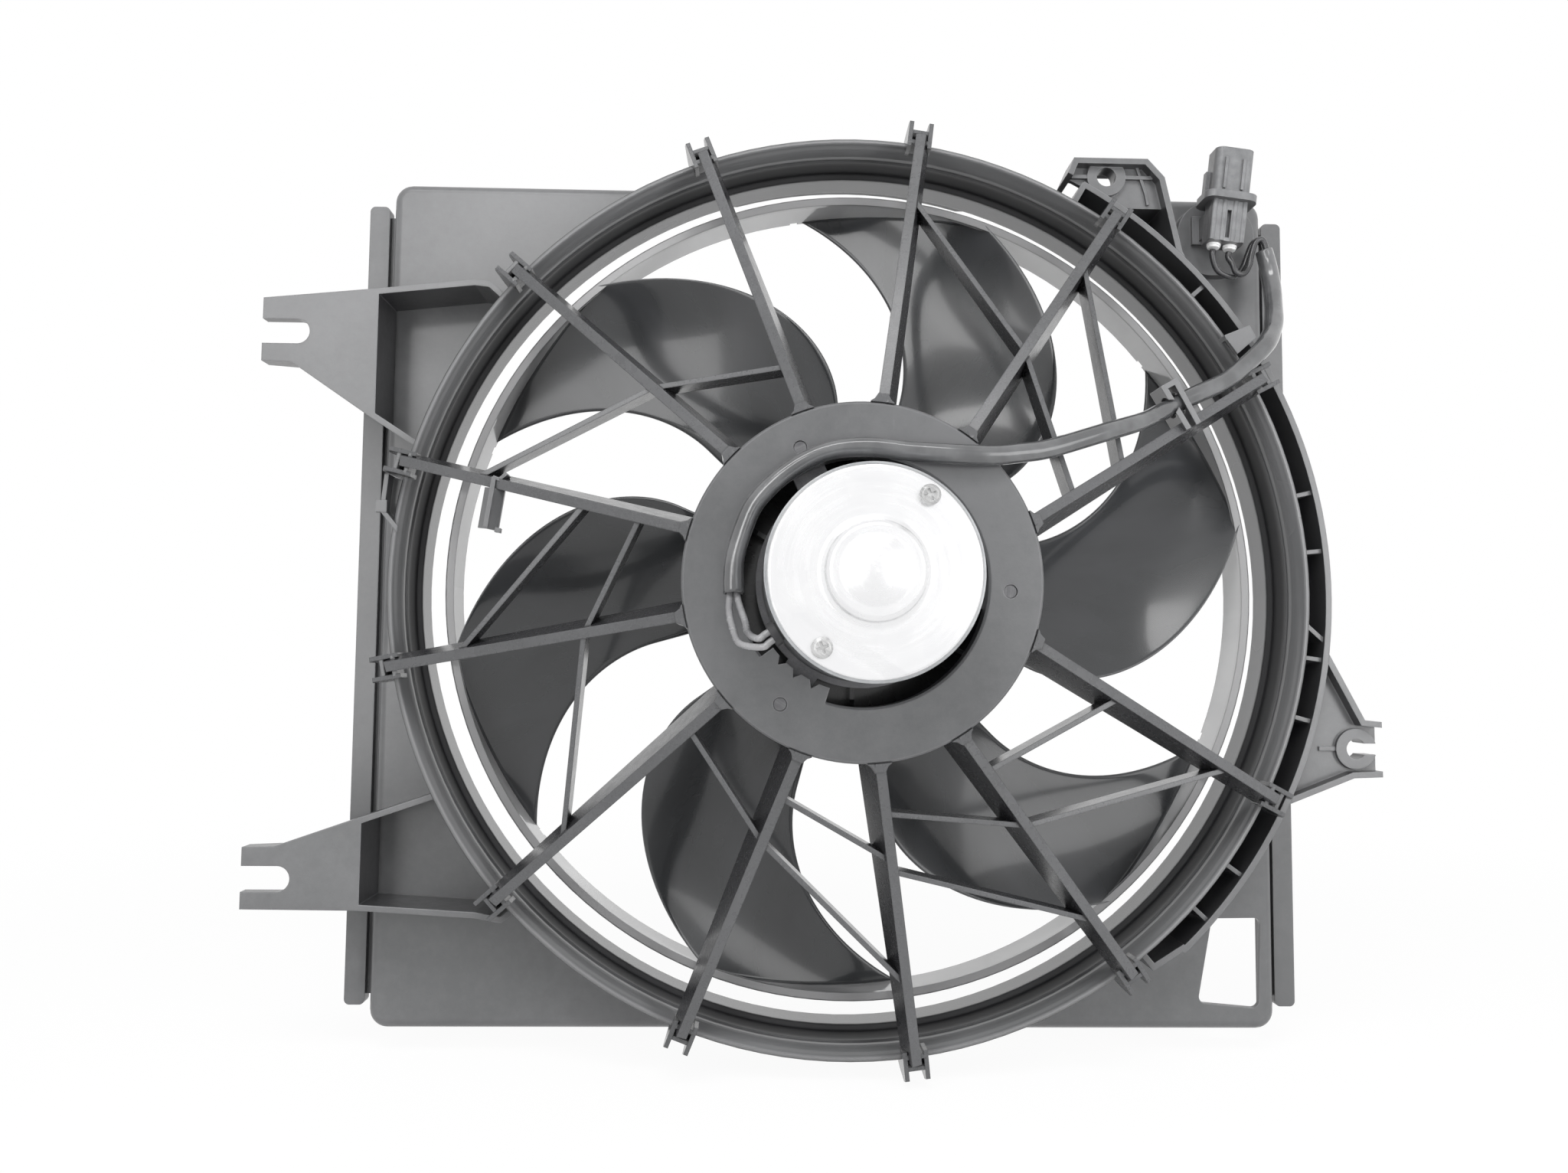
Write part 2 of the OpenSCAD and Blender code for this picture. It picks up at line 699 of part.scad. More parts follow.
module upper_right_lug() {
    h = wall / 2;
    face_z = ear_h - 5.5;
    // Point of the trough wall's outer side that the lug stands on
    o = flat(trough_r, 55);
    hole = o + [-6.7, 14.6];
    step_y = o[1] + 2.5;
    left = o + [-22.3 + h, 21.7 - h];
    right = o + [10.2, 21.7 - h];
    shoulder = o + [17, 13];
    color([0.2, 0.2, 0.21])
        stand()
            difference() {
                union() {
                    translate([0, 0, face_z - wall])
                        linear_extrude(wall)
                            polygon([left, right, shoulder, [o[0] + 19.3, step_y],
                                [o[0] - 27, step_y]]);
                    wall_run([o + [-27.5, 4], left, right, shoulder, o + [24.4, -20],
                        o + [37, -48]], tray_h, ear_h, wall);
                    // Step down to the tray below the face
                    wall_run([[o[0] - 19, step_y], [o[0] + 19.3, step_y]], tray_h, face_z, wall);
                    translate([hole[0], hole[1], face_z - 6])
                        cylinder(d = lug_hole_d + 8.6, h = 8.2);
                    // Ribs round the hole and across the face
                    wall_run([hole + [6, 0.1], hole + [20.7, 0.1]], face_z - 4, face_z + 1.8,
                        1.6);
                    wall_run([hole + [-15.3, 0.1], hole + [-6, 0.1]], face_z - 4, face_z + 1.8,
                        1.6);
                    wall_run([hole + [0, 5.6], hole + [0, 6]], face_z - 4, face_z + 1.8, 1.6);
                    wall_run([o + [7, 20.2], o + [11, 8], [o[0] + 12, step_y]], face_z - 1,
                        face_z + 1.4, 1.2);
                }
                translate([hole[0], hole[1], 0]) cylinder(d = lug_hole_d, h = 60);
                cylinder(r = trough_r, h = 80);
                // The lug overhangs the tray's edge
                translate([o[0] - 60, 0, 0])
                    rotate([90, 0, 90])
                        linear_extrude(120)
                            polygon([[tray_top + 0.3, -5], [tray_top + 0.3, 19.5],
                                [o[1] + 25, 27.2], [o[1] + 40, 27.2], [o[1] + 40, -5]]);
            }
}

module motor_plate() {
    z0 = plate_top - plate_t;
    color([0.21, 0.21, 0.22])
        stand()
            difference() {
                union() {
                    rotate_extrude()
                        polygon([[plate_hole_r, z0 - 5], [plate_hole_r + 2.4, z0 - 5],
                            [plate_hole_r + 2.4, z0], [plate_r - 2.5, z0],
                            [plate_r - 2.5, plate_top - rim_h], [plate_r, plate_top - rim_h],
                            [plate_r, plate_top - 0.8], [plate_r - 0.8, plate_top],
                            [plate_hole_r + 1, plate_top], [plate_hole_r, plate_top - 1]]);
                    for (a = screw_angles)
                        translate(polar(screw_circle_r, a, flange_z1))
                            cylinder(r = 6, h = plate_top - flange_z1 - 0.5);
                    // Tab that reaches in towards the motor below the lead
                    intersection() {
                        translate([0, 0, z0])
                            difference() {
                                cylinder(r = plate_hole_r + 2, h = plate_t);
                                translate([0, 0, -1]) cylinder(r = 42.6, h = plate_t + 2);
                            }
                        rotate([0, 0, 217])
                            translate([0, 0, z0 - 5])
                                rotate_extrude(angle = 36) square([70, 20]);
                    }
                }
                for (a = screw_angles)
                    translate(polar(screw_circle_r, a, flange_z1 - 1))
                        cylinder(d = screw_hole_d, h = 40);
                for (a = [224.9, 234.4, 244.5])
                    rotate([0, 0, a])
                        translate([41, 0, z0 - 1])
                            linear_extrude(plate_t + 2)
                                polygon([[0, -3], [4.4, 0], [0, 3]]);
            }
}

module spoke_vanes() {
    for (i = [0:spoke_count - 1])
        vane(spoke_root(i), spoke_tip(i), spoke_h, spoke_tip_h, spoke_t, spoke_lean);
}

// Small gussets that widen the root of a spoke
module spoke_gusset(i) {
    translate(spoke_root(i) + [0, 0, -0.6])
        rotate([0, 0, plate_angle(i)])
            translate([0, 0, -spoke_h + 2])
                linear_extrude(spoke_h - 2)
                    polygon([[0, -4.8], [3.2, -4.6], [4.2, -3.2], [6.4, -2], [6.4, 2],
                        [4.2, 3.2], [3.2, 4.6], [0, 4.8]]);
}

module spokes() {
    color([0.22, 0.22, 0.23])
        stand()
            for (i = [0:spoke_count - 1])
                difference() {
                    union() {
                        vane(spoke_root(i), spoke_tip(i), spoke_h, spoke_tip_h, spoke_t,
                            spoke_lean);
                        spoke_gusset(i);
                    }
                    cylinder(r = plate_r, h = plate_top + 20);
                    ring_wall();
                    rotate([0, 0, ring_angle(i)])
                        translate([ring_out + 0.4, -20, ring_h - 20]) cube([20, 40, 60]);
                }
}

module spoke_braces() {
    color([0.21, 0.21, 0.22])
        stand()
            for (b = braces) {
                p = along(b[0], b[1]) + [0, 0, -1.2];
                q = along(b[2], b[3]) + [0, 0, -1.2];
                reach = 4 / norm(q - p) * (q - p);
                turn = sign(b[2] - b[0]);
                difference() {
                    vane(p - reach, q + reach, brace_depth(b[1]), brace_depth(b[3]), brace_t, 0);
                    vane_side(b[0], -turn);
                    vane_side(b[2], turn);
                }
            }
}

module spoke_feet() {
    z1 = spoke_tip_z;
    profile = [[barrel_out, ring_h], [barrel_out - 0.4, ring_h + 9], [foot_r - 2, ring_h + 5.5],
        [foot_r, ring_h - 1], [foot_r - 1.5, ear_h - 1], [wall_out + 3.3, tray_h + 2],
        [barrel_out, tray_h + 2]];
    color([0.21, 0.21, 0.22])
        stand()
            for (i = [0:spoke_count - 1])
                difference() {
                    rotate([0, 0, ring_angle(i)]) {
                        for (s = [-1, 1])
                            translate([0, s * fin_gap / 2 + fin_t / 2, 0])
                                rotate([90, 0, 0]) linear_extrude(fin_t) polygon(profile);
                        // Webs that join the two fins before and behind a square hole
                        translate([ring_out + 0.4, -fin_gap / 2, ring_h - 6])
                            cube([1.6, fin_gap, 12.4]);
                        translate([ring_out - 5, -fin_gap / 2, ring_h - 2])
                            cube([1.8, fin_gap, 10.4]);
                    }
                    ring_core_low();
                    vane(spoke_root(i), spoke_tip(i), spoke_h, spoke_tip_h, spoke_t, spoke_lean);
                }
}

// Everything inside the ring's outer side, up to its lip only
module ring_core_low() {
    rotate_extrude()
        polygon(concat([[0, -1], [barrel_out, -1]], ring_outer(),
            [flare(flare_a, flare_r), [0, ring_h - 0.6]]));
}

// Two plates that hold the lead beside the first spoke, with a hole for its sleeve
module lead_guides() {
    color([0.2, 0.2, 0.21])
        stand()
            difference() {
                union() {
                    wall_run([[136.4, 66.2], [127.3, 83.3], [122.6, 80.6], [132.4, 64]],
                        stay_z - 8, stay_z + 5, 2.2);
                    // Hook on the lip of the ring, beside the lead
                    translate([0, 0, hook_z - 2.2])
                        linear_extrude(2.2)
                            polygon([[155.2, 106.8], [166, 111.3], [168.3, 107],
                                [160.3, 99.9]]);
                    wall_run([[155.2, 106.8], [166, 111.3]], ring_h - 8, hook_z, 2);
                    // Spare hook on the left of the ring
                    wall_run([[-194.3, 45.4], [-195.8, 30.2], [-188, 21]], ring_h - 9,
                        ring_h - 0.6, 1.8);
                    translate([0, 0, ring_h - 9])
                        linear_extrude(1.6)
                            polygon([[-184, 42.6], [-194.3, 45.2], [-195.8, 30.2], [-190, 23],
                                [-180, 22]]);
                    translate([-198.4, 29.4, ring_h - 2.4]) cube([4.6, 5, 2.2]);
                    // Open clip on a spoke on the left: a folded tab with a hook at each end
                    translate([-147, 31, clip_z])
                        rotate([0, 0, -8.4]) {
                            translate([0, 6, 0])
                                rotate([90, 0, 0])
                                    linear_extrude(16.4)
                                        polygon([[-3, -2.2], [-0.3, 0.2], [1.3, 0.2],
                                            [4.7, -3.6], [4.7, -5.4], [0.6, -1.6], [-3, -4]]);
                            translate([-0.4, -10, -2.4]) cube([1.8, 20.4, 3]);
                            translate([3.6, -11, -5.8]) cube([2.2, 1.8, 3.2]);
                        }
                    wall_run([[-145.4, 41.2], [-142.9, 40.2], [-140, 42.6]], clip_z - 6,
                        clip_z + 0.6, 1.3);
                }
                for (i = [13, 14])
                    hole_along(lead_path[i], lead_path[i + 1], sleeve_d + 1.4);
                ring_core();
                spoke_cuts([0, 5]);
            }
}

module spoke_cuts(list) {
    for (i = list)
        vane(spoke_root(i), spoke_tip(i), spoke_h, spoke_tip_h, spoke_t, spoke_lean);
}

// Round hole along the line between two points, a little longer at both ends
module hole_along(p0, p1, d) {
    v = p1 - p0;
    translate(p0 - 0.25 * v)
        rotate([0, acos(v[2] / norm(v)), atan2(v[1], v[0])])
            cylinder(d = d, h = 1.5 * norm(v), $fn = 48);
}

// Outer shape of the hub with its rounded edge
module hub_outer() {
    e = 6;
    translate([0, 0, hub_z0 + e]) cylinder(r = hub_r, h = hub_z1 - hub_z0 - e);
    translate([0, 0, hub_z0]) cylinder(r = hub_r - e, h = e + 1);
    translate([0, 0, hub_z0 + e]) rotate_extrude() translate([hub_r - e, 0]) circle(e);
}

module fan_hub() {
    e = 6;
    in_r = hub_r - hub_t;
    floor_z = hub_z0 + hub_t;
    rib_r = can_r + 8;
    color([0.16, 0.16, 0.17])
        stand() {
            difference() {
                hub_outer();
                difference() {
                    translate([0, 0, floor_z]) cylinder(r = in_r, h = 60);
                    rotate_extrude()
                        difference() {
                            translate([in_r - e + hub_t, floor_z - 1]) square([e, e - hub_t + 1]);
                            translate([in_r - e + hub_t, floor_z + e - hub_t])
                                circle(e - hub_t);
                        }
                    cylinder(r = fan_boss_r, h = fan_boss_z1);
                    for (a = [0:60:300])
                        rotate([0, 0, a + 30])
                            translate([0, 1, 0])
                                rotate([90, 0, 0])
                                    linear_extrude(2)
                                        polygon([[10, hub_z0], [hub_r, hub_z0],
                                            [hub_r, hub_z1 - 5], [rib_r, fan_boss_z1 - 4],
                                            [10, fan_boss_z1 - 4]]);
                }
                cylinder(r = insert_r, h = 90);
            }
        }
}

// Share of the way from a start radius to the band, bent so that the sweep grows
// towards the tip
function outward(r, r0) = pow(max(0, (r - r0) / (band_r - 3 - r0)), 1.7);
function lead_angle(r) = sweep * outward(r, 88);
function trail_angle(r) = -root_chord + (sweep + root_chord - tip_chord) * outward(r, 80);
function blade_share(r) = (r - hub_r) / (band_r - hub_r);
function lead_z(r) = hub_z0 + 0.8 + (band_z0 + 1 - hub_z0 - 0.8) * blade_share(r);
function trail_z(r) = hub_z1 - 3 + (band_z1 - hub_z1 + 2.4) * blade_share(r);
function blade_chord(r) = (lead_angle(r) - trail_angle(r)) * PI / 180 * r;
function blade_point(r, s, side) =
    let (a = lead_angle(r) + s * (trail_angle(r) - lead_angle(r)),
         rise = trail_z(r) - lead_z(r),
         slope = norm([blade_chord(r), rise]) / blade_chord(r),
         thick = blade_t * slope * (0.42 + 0.58 * pow(max(0, sin(180 * s)), 0.7)),
         z = lead_z(r) + s * rise - 0.055 * blade_chord(r) * sin(180 * s))
    polar(r, a, z + side * thick / 2);

module blade() {
    n = blade_stations;
    k = blade_points;
    ring = 2 * (k + 1);
    r0 = hub_r - 2.2;
    r1 = band_r - 1;
    points = [for (j = [0:n - 1])
        let (r = r0 + (r1 - r0) * j / (n - 1))
        each concat([for (i = [0:k]) blade_point(r, i / k, 1)],
            [for (i = [k:-1:0]) blade_point(r, i / k, -1)])];
    skin = [for (j = [0:n - 2], i = [0:ring - 1])
        let (a = j * ring + i, b = a + ring, c = j * ring + (i + 1) % ring, d = c + ring)
        each [[a, b, d], [a, d, c]]];
    last = (n - 1) * ring;
    root = [for (i = [0:k - 1]) each [[i, i + 1, ring - 2 - i], [i, ring - 2 - i, ring - 1 - i]]];
    tip = [for (f = root) [last + f[2], last + f[1], last + f[0]]];
    polyhedron(points, concat(skin, root, tip), convexity = 4);
}

module fan_blades() {
    color([0.16, 0.16, 0.17])
        stand()
            for (i = [0:blades - 1])
                difference() {
                    rotate([0, 0, lead_a0 + i * 360 / blades]) blade();
                    hub_outer();
                    rotate_extrude()
                        polygon([[band_r - band_t, 0], [band_r - band_t, band_z1 - band_t],
                            [band_in, band_z1 - band_t], [band_in, 99], [200, 99], [200, 0]]);
                }
}

module fan_band() {
    notch_a = lead_a0 + sweep + 1.6;
    color([0.16, 0.16, 0.17])
        stand()
            difference() {
                rotate_extrude($fn = 180)
                    polygon([[band_r - band_t, band_z0], [band_r, band_z0],
                        [band_r, band_z1 - 0.6], [band_r - 0.6, band_z1], [band_in, band_z1],
                        [band_in, band_z1 - band_t], [band_r - band_t, band_z1 - band_t]]);
                for (i = [0:blades - 1])
                    rotate([0, 0, notch_a + i * 360 / blades])
                        translate([band_r - 6, -1.6, band_z0 - 1]) cube([12, 3.2, 2.6]);
            }
}

module shaft_section() {
    difference() {
        circle(shaft_r, $fn = 48);
        translate([shaft_r - 0.8, -shaft_r]) square(2 * shaft_r);
    }
}

module hub_insert() {
    color([0.62, 0.63, 0.64])
        stand()
            difference() {
                translate([0, 0, hub_z0]) cylinder(r = insert_r, h = fan_boss_z1 - hub_z0);
                translate([0, 0, hub_z0 - 1]) linear_extrude(40) shaft_section();
            }
}

module fan_washer() {
    color([0.7, 0.7, 0.72])
        stand()
            difference() {
                translate([0, 0, hub_z0 - washer_t]) cylinder(r = 10, h = washer_t);
                translate([0, 0, 20]) cylinder(r = thread_r, h = 30);
            }
}

module fan_nut() {
    z0 = hub_z0 - washer_t - nut_t;
    color([0.68, 0.66, 0.55])
        stand()
            difference() {
                translate([0, 0, z0]) cylinder(r = 10 / cos(30) / 2, h = nut_t, $fn = 6);
                translate([0, 0, 20]) cylinder(r = thread_r, h = 30);
            }
}

module motor_shaft() {
    color([0.72, 0.73, 0.75])
        stand() {
            translate([0, 0, shaft_z0]) cylinder(r = thread_r, h = hub_z0 - shaft_z0 + 0.4);
            translate([0, 0, hub_z0 + 0.4])
                linear_extrude(fan_boss_z1 - hub_z0 - 0.4) shaft_section();
            translate([0, 0, fan_boss_z1]) cylinder(r = shaft_r, h = shaft_z1 - fan_boss_z1);
        }
}

module armature_core() {
    color([0.5, 0.5, 0.52])
        stand()
            difference() {
                translate([0, 0, core_z0]) cylinder(r = armature_r, h = core_len);
                cylinder(r = shaft_r, h = 200);
                for (i = [0:slots - 1])
                    rotate([0, 0, i * 360 / slots]) {
                        translate([slot_r, 0, 0]) cylinder(d = slot_d, h = 200, $fn = 32);
                        translate([slot_r, -0.8, 0]) cube([20, 1.6, 200]);
                    }
            }
}

module armature_winding() {
    color([0.72, 0.36, 0.16])
        stand() {
            for (z = [core_z0 - 6.4, core_z1])
                translate([0, 0, z])
                    rotate_extrude()
                        polygon([[10, 1], [12, 0], [23.5, 0], [25.4, 1.4], [25.4, 5.2],
                            [23.5, 6.4], [12, 6.4], [10, 5.4]]);
            for (i = [0:slots - 1])
                rotate([0, 0, i * 360 / slots])
                    translate([slot_r, 0, core_z0 - 2])
                        cylinder(d = slot_d - 0.2, h = core_len + 4, $fn = 32);
        }
}

module commutator() {
    color([0.78, 0.45, 0.22])
        stand()
            difference() {
                union() {
                    translate([0, 0, commutator_z0]) cylinder(r = commutator_r, h = 12);
                    translate([0, 0, commutator_z0 - 1.8])
                        cylinder(r = commutator_r + 1.6, h = 1.8);
                }
                cylinder(r = shaft_r, h = 200);
                for (i = [0:slots - 1])
                    rotate([0, 0, (i + 0.5) * 360 / slots])
                        translate([commutator_r - 0.9, -0.3, commutator_z0 - 2])
                            cube([4, 0.6, 20]);
            }
}

module thrust_washers() {
    color([0.75, 0.7, 0.5])
        stand()
            for (z = [front_bearing_z + bearing_len + air_gap, rear_bearing_z - air_gap - 1])
                translate([0, 0, z])
                    difference() {
                        cylinder(r = 6.6, h = 1);
                        translate([0, 0, -1]) cylinder(r = shaft_r, h = 3);
                    }
}

module motor_can() {
    z_boss = can_z0 - can_boss_h;
    color([0.62, 0.63, 0.65])
        stand()
            difference() {
                rotate_extrude()
                    polygon([[shaft_r + 1, z_boss], [can_boss_r - 1, z_boss],
                        [can_boss_r, z_boss + 1], [can_boss_r, can_z0], [can_r - 3, can_z0],
                        [can_r - 0.9, can_z0 + 0.9], [can_r, can_z0 + 3], [can_r, can_z1],
                        [can_in, can_z1], [can_in, can_z0 + can_t],
                        [can_boss_r, can_z0 + can_t], [bearing_r + 2, front_bearing_z + bearing_len],
                        [bearing_r, front_bearing_z + bearing_len],
                        [bearing_r, front_bearing_z], [shaft_r + 1, front_bearing_z]]);
                for (s = [0, 180])
                    translate(polar(bolt_r, bolt_a + s, 0)) cylinder(d = bolt_d, h = can_z0 + 10);
                rotate([0, 0, grommet_a])
                    translate([can_in - 3, 0, grommet_z])
                        rotate([0, 90, 0]) cylinder(d = grommet_d - 2, h = 10);
            }
}

module end_cap() {
    // The cap slopes down a little beyond a straight edge
    p0 = [-37.5, -3.4];
    p1 = [13.7, -36.6];
    dome_r = 12.5;
    dome_h = 2.8;
    ball_r = (dome_r * dome_r + dome_h * dome_h) / (2 * dome_h);
    color([0.8, 0.81, 0.83])
        stand()
            difference() {
                union() {
                    rotate_extrude()
                        polygon([[cap_boss_r - 4, can_z1 - spigot_h], [can_in, can_z1 - spigot_h],
                            [can_in, can_z1], [cap_r, can_z1], [cap_r, cap_top - 0.7],
                            [cap_r - 0.7, cap_top], [cap_boss_r + 2, cap_top],
                            [cap_boss_r, cap_top + 1.2], [cap_boss_r, boss_top - 1.6],
                            [cap_boss_r - 1.6, boss_top], [0, boss_top], [0, cap_top],
                            [cap_boss_r - 4, cap_top]]);
                    intersection() {
                        translate([0, 0, boss_top + dome_h - ball_r]) sphere(ball_r);
                        translate([0, 0, boss_top - 0.2]) cylinder(r = dome_r, h = 10);
                    }
                }
                translate([0, 0, can_z1 - spigot_h - 1])
                    cylinder(r = bearing_r, h = rear_bearing_z + bearing_len - can_z1 + spigot_h + 1);
                cylinder(r = shaft_r + 1, h = shaft_z1 + 0.8);
                for (s = [0, 180])
                    translate(polar(bolt_r, bolt_a + s, 0)) cylinder(d = bolt_d, h = 200);
                translate([p0[0], p0[1], cap_top])
                    rotate([0, 0, atan2(p1[1] - p0[1], p1[0] - p0[0])])
                        translate([-10, 0, 0])
                            rotate([90, 0, 90])
                                linear_extrude(90)
                                    polygon([[0, 0], [-5, -0.6], [-60, -0.6], [-60, 4], [0, 4]]);
            }
}

module motor_flange() {
    color([0.66, 0.67, 0.69])
        stand()
            translate([0, 0, flange_z0])
                linear_extrude(flange_t)
                    difference() {
                        union() {
                            circle(can_r + 2.6);
                            for (a = screw_angles)
                                rotate([0, 0, a]) {
                                    translate([screw_circle_r, 0]) circle(6.8);
                                    translate([can_r, -6.8]) square([screw_circle_r - can_r, 13.6]);
                                }
                        }
                        circle(can_r);
                        for (a = screw_angles)
                            rotate([0, 0, a]) translate([screw_circle_r, 0]) circle(d = screw_hole_d);
                    }
}

module magnets() {
    span = 152;
    color([0.28, 0.28, 0.3])
        stand()
            for (s = [0, 180])
                rotate([0, 0, brush_a + s - span / 2])
                    translate([0, 0, core_z0 - 4])
                        rotate_extrude(angle = span)
                            translate([magnet_in, 0]) square([can_in - magnet_in, core_len + 8]);
}

// Plain bush with a little running clearance on the shaft
module bush() {
    difference() {
        cylinder(r = bearing_r, h = bearing_len);
        translate([0, 0, -1]) cylinder(r = shaft_r + bearing_gap, h = bearing_len + 2);
    }
}

module front_bearing() {
    color([0.62, 0.5, 0.28])
        stand() translate([0, 0, front_bearing_z]) bush();
}

module rear_bearing() {
    color([0.62, 0.5, 0.28])
        stand() translate([0, 0, rear_bearing_z]) bush();
}

module brush_plate() {
    color([0.5, 0.36, 0.24])
        stand()
            difference() {
                translate([0, 0, can_z1 - 2 * spigot_h]) cylinder(r = can_in, h = spigot_h);
                cylinder(r = plate_in, h = 200);
                for (s = [0, 180])
                    translate(polar(bolt_r, bolt_a + s, 0)) cylinder(d = bolt_d, h = 200);
            }
}

module brush_holders() {
    t = 0.8;
    color([0.78, 0.68, 0.35])
        stand()
            for (s = [0, 180])
                rotate([0, 0, brush_a + s])
                    difference() {
                        translate([commutator_r + 1.6, -brush_w / 2 - t, brush_z - t])
                            cube([17.4, brush_w + 2 * t, can_z1 - 2 * spigot_h - brush_z + t]);
                        translate([commutator_r, -brush_w / 2, brush_z])
                            cube([17.8, brush_w, brush_h]);
                    }
}

module brushes() {
    color([0.2, 0.2, 0.21])
        stand()
            for (s = [0, 180])
                rotate([0, 0, brush_a + s])
                    translate([commutator_r + air_gap, -brush_w / 2, brush_z])
                        cube([brush_len, brush_w, brush_h]);
}

module brush_springs() {
    turns = 6;
    r0 = commutator_r + air_gap + brush_len;
    pitch = (commutator_r + 17.8 - r0) / turns;
    color([0.7, 0.7, 0.72])
        stand()
            for (s = [0, 180])
                rotate([0, 0, brush_a + s])
                    translate([r0, 0, brush_z + brush_h / 2])
                        rotate([0, 90, 0])
                            rotate_extrude()
                                polygon([[1.2, 0], [1.9, 0],
                                    for (i = [0:turns - 1])
                                        each [[1.9, i * pitch], [2.6, (i + 0.3) * pitch],
                                            [2.6, (i + 0.6) * pitch], [1.9, (i + 0.9) * pitch]],
                                    [1.9, turns * pitch], [1.2, turns * pitch]]);
}

module tie_bolts() {
    color([0.76, 0.74, 0.6])
        stand()
            for (s = [0, 180])
                translate(polar(bolt_r, bolt_a + s, 0))
                    difference() {
                        union() {
                            translate([0, 0, can_z0]) cylinder(d = bolt_d, h = cap_top - can_z0);
                            translate([0, 0, cap_top]) cylinder(d = bolt_head_d, h = 2.2);
                            translate([0, 0, cap_top + 2.2])
                                cylinder(d1 = bolt_head_d, d2 = bolt_head_d - 2, h = 0.7);
                        }
                        for (a = [20, 110])
                            translate([0, 0, cap_top + 1.3])
                                rotate([0, 0, a])
                                    translate([-2.1, -0.5, 0]) cube([4.2, 1, 3]);
                    }
}

module flange_screws() {
    color([0.72, 0.7, 0.56])
        stand()
            for (a = screw_angles)
                translate(polar(screw_circle_r, a, 0))
                    difference() {
                        union() {
                            translate([0, 0, flange_z0]) cylinder(d = screw_d, h = 11.4);
                            translate([0, 0, flange_z0 - 3.4]) cylinder(d = 9.4, h = 3.4);
                        }
                        translate([0, 0, flange_z0 - 3.5])
                            rotate([0, 0, a]) cylinder(d = 4.6, h = 2, $fn = 6);
                    }
}

function at_grommet(r, side) =
    polar(r, grommet_a, grommet_z) + side * 1.6 * [-sin(grommet_a), cos(grommet_a), 0];

module lead_grommet() {
    color([0.1, 0.1, 0.1])
        stand()
            difference() {
                rotate([0, 0, grommet_a])
                    translate([0, 0, grommet_z])
                        rotate([0, 90, 0]) {
                            translate([0, 0, can_in - 2]) cylinder(d = grommet_d - 2, h = 7);
                            translate([0, 0, can_r + 0.6]) cylinder(d = grommet_d, h = 2.6);
                        }
                for (s = [-1, 1])
                    hole_along(at_grommet(can_r + 5, s), at_grommet(can_in - 2, s), wire_d);
            }
}

module motor_wires() {
    color([0.07, 0.07, 0.07])
        stand() {
            tube(smooth(concat(wire_a_path, [at_grommet(46, -1), at_grommet(42.5, -1),
                at_grommet(35, -1)]), 2), wire_d, 8);
            tube(smooth(concat(wire_b_path, [at_grommet(46.5, 1), at_grommet(42.5, 1),
                at_grommet(35, 1)]), 2), wire_d, 8);
        }
}

module lead_sleeve() {
    color([0.09, 0.09, 0.1])
        stand()
            difference() {
                tube(smooth(lead_path, 2), sleeve_d, 12);
                // The wires leave from the hollow ends
                hole_along(lead_path[0], lead_path[0] + [0, 6, -0.75], sleeve_d - 1.6);
                hole_along(lead_path[24], lead_path[23], sleeve_d - 1.6);
            }
}

module connector_wires() {
    color([0.06, 0.06, 0.06])
        stand() {
            tube(smooth(concat([at_connector(-pin_pitch / 2, -rear_len - 2.6, 0),
                at_connector(-pin_pitch / 2, -rear_len - 5, 0)], wire_c_path), 2), wire_d, 8);
            tube(smooth(concat([at_connector(pin_pitch / 2, -rear_len - 2.6, 0),
                at_connector(pin_pitch / 2, -rear_len - 5, 0)], wire_d_path), 2), wire_d, 8);
        }
}

function at_connector(x, y, z) =
    [conn_x + x * cos(conn_lean) + y * sin(conn_lean),
     conn_y - x * sin(conn_lean) + y * cos(conn_lean), conn_z + z];

// Moves a shape from the connector's own frame, with its mouth towards +y
module at_conn() {
    translate([conn_x, conn_y, conn_z]) rotate([0, 0, -conn_lean]) children();
}

// Rounded bar along y of the connector's frame
module bar(w, d, y0, y1, r) {
    translate([0, y1, 0])
        rotate([90, 0, 0])
            linear_extrude(y1 - y0) round_rect(-w / 2, -d / 2, w / 2, d / 2, r);
}

module connector_housing() {
    rear_w = hood_w - 1;
    rear_d = hood_d - 2;
    color([0.3, 0.3, 0.31])
        stand()
            at_conn()
                difference() {
                    union() {
                        bar(hood_w, hood_d, 0, hood_len, 3.4);
                        bar(hood_w + 6, hood_d + 4.4, -collar_t, 0.01, 4.6);
                        bar(rear_w, rear_d, -rear_len, 0.01, 3);
                        // Ribs on the hood and along the back
                        translate([-hood_w / 2 - 2, -2.4, 0]) cube([4, 4.8, 1]);
                        translate([-hood_w / 2 - 1.8, -1.6, -3]) cube([4, hood_len - 8, 3.2]);
                        for (x = [-4.2, 3.6])
                            translate([x - 0.6, 1.5, hood_d / 2 - 1])
                                cube([1.2, hood_len - 6.5, 2]);
                        for (x = [-rear_w / 2 + 1.5, -2.4, 2.4, rear_w / 2 - 1.5])
                            translate([x, -collar_t, rear_d / 2 - 0.7])
                                rotate([90, 0, 0])
                                    cylinder(d = 2.6, h = rear_len - collar_t, $fn = 32);
                    }
                    // Socket at the mouth
                    bar(hood_w - 2 * socket_wall, hood_d - 2 * socket_wall,
                        hood_len - socket_deep, hood_len + 1, 2.2);
                    // Slot in the back and holes for the seals
                    translate([-0.9, -rear_len + 1.6, rear_d / 2 - 2.6])
                        cube([1.8, rear_len - 9, 6]);
                    for (s = [-1, 1]) {
                        translate([s * pin_pitch / 2, -rear_len - 1, 0])
                            rotate([-90, 0, 0]) cylinder(d = seal_d, h = 5);
                        translate([s * pin_pitch / 2 - 2.5, -rear_len + 3, -0.4])
                            cube([5, rear_len + hood_len - socket_deep, 0.8]);
                    }
                }
}

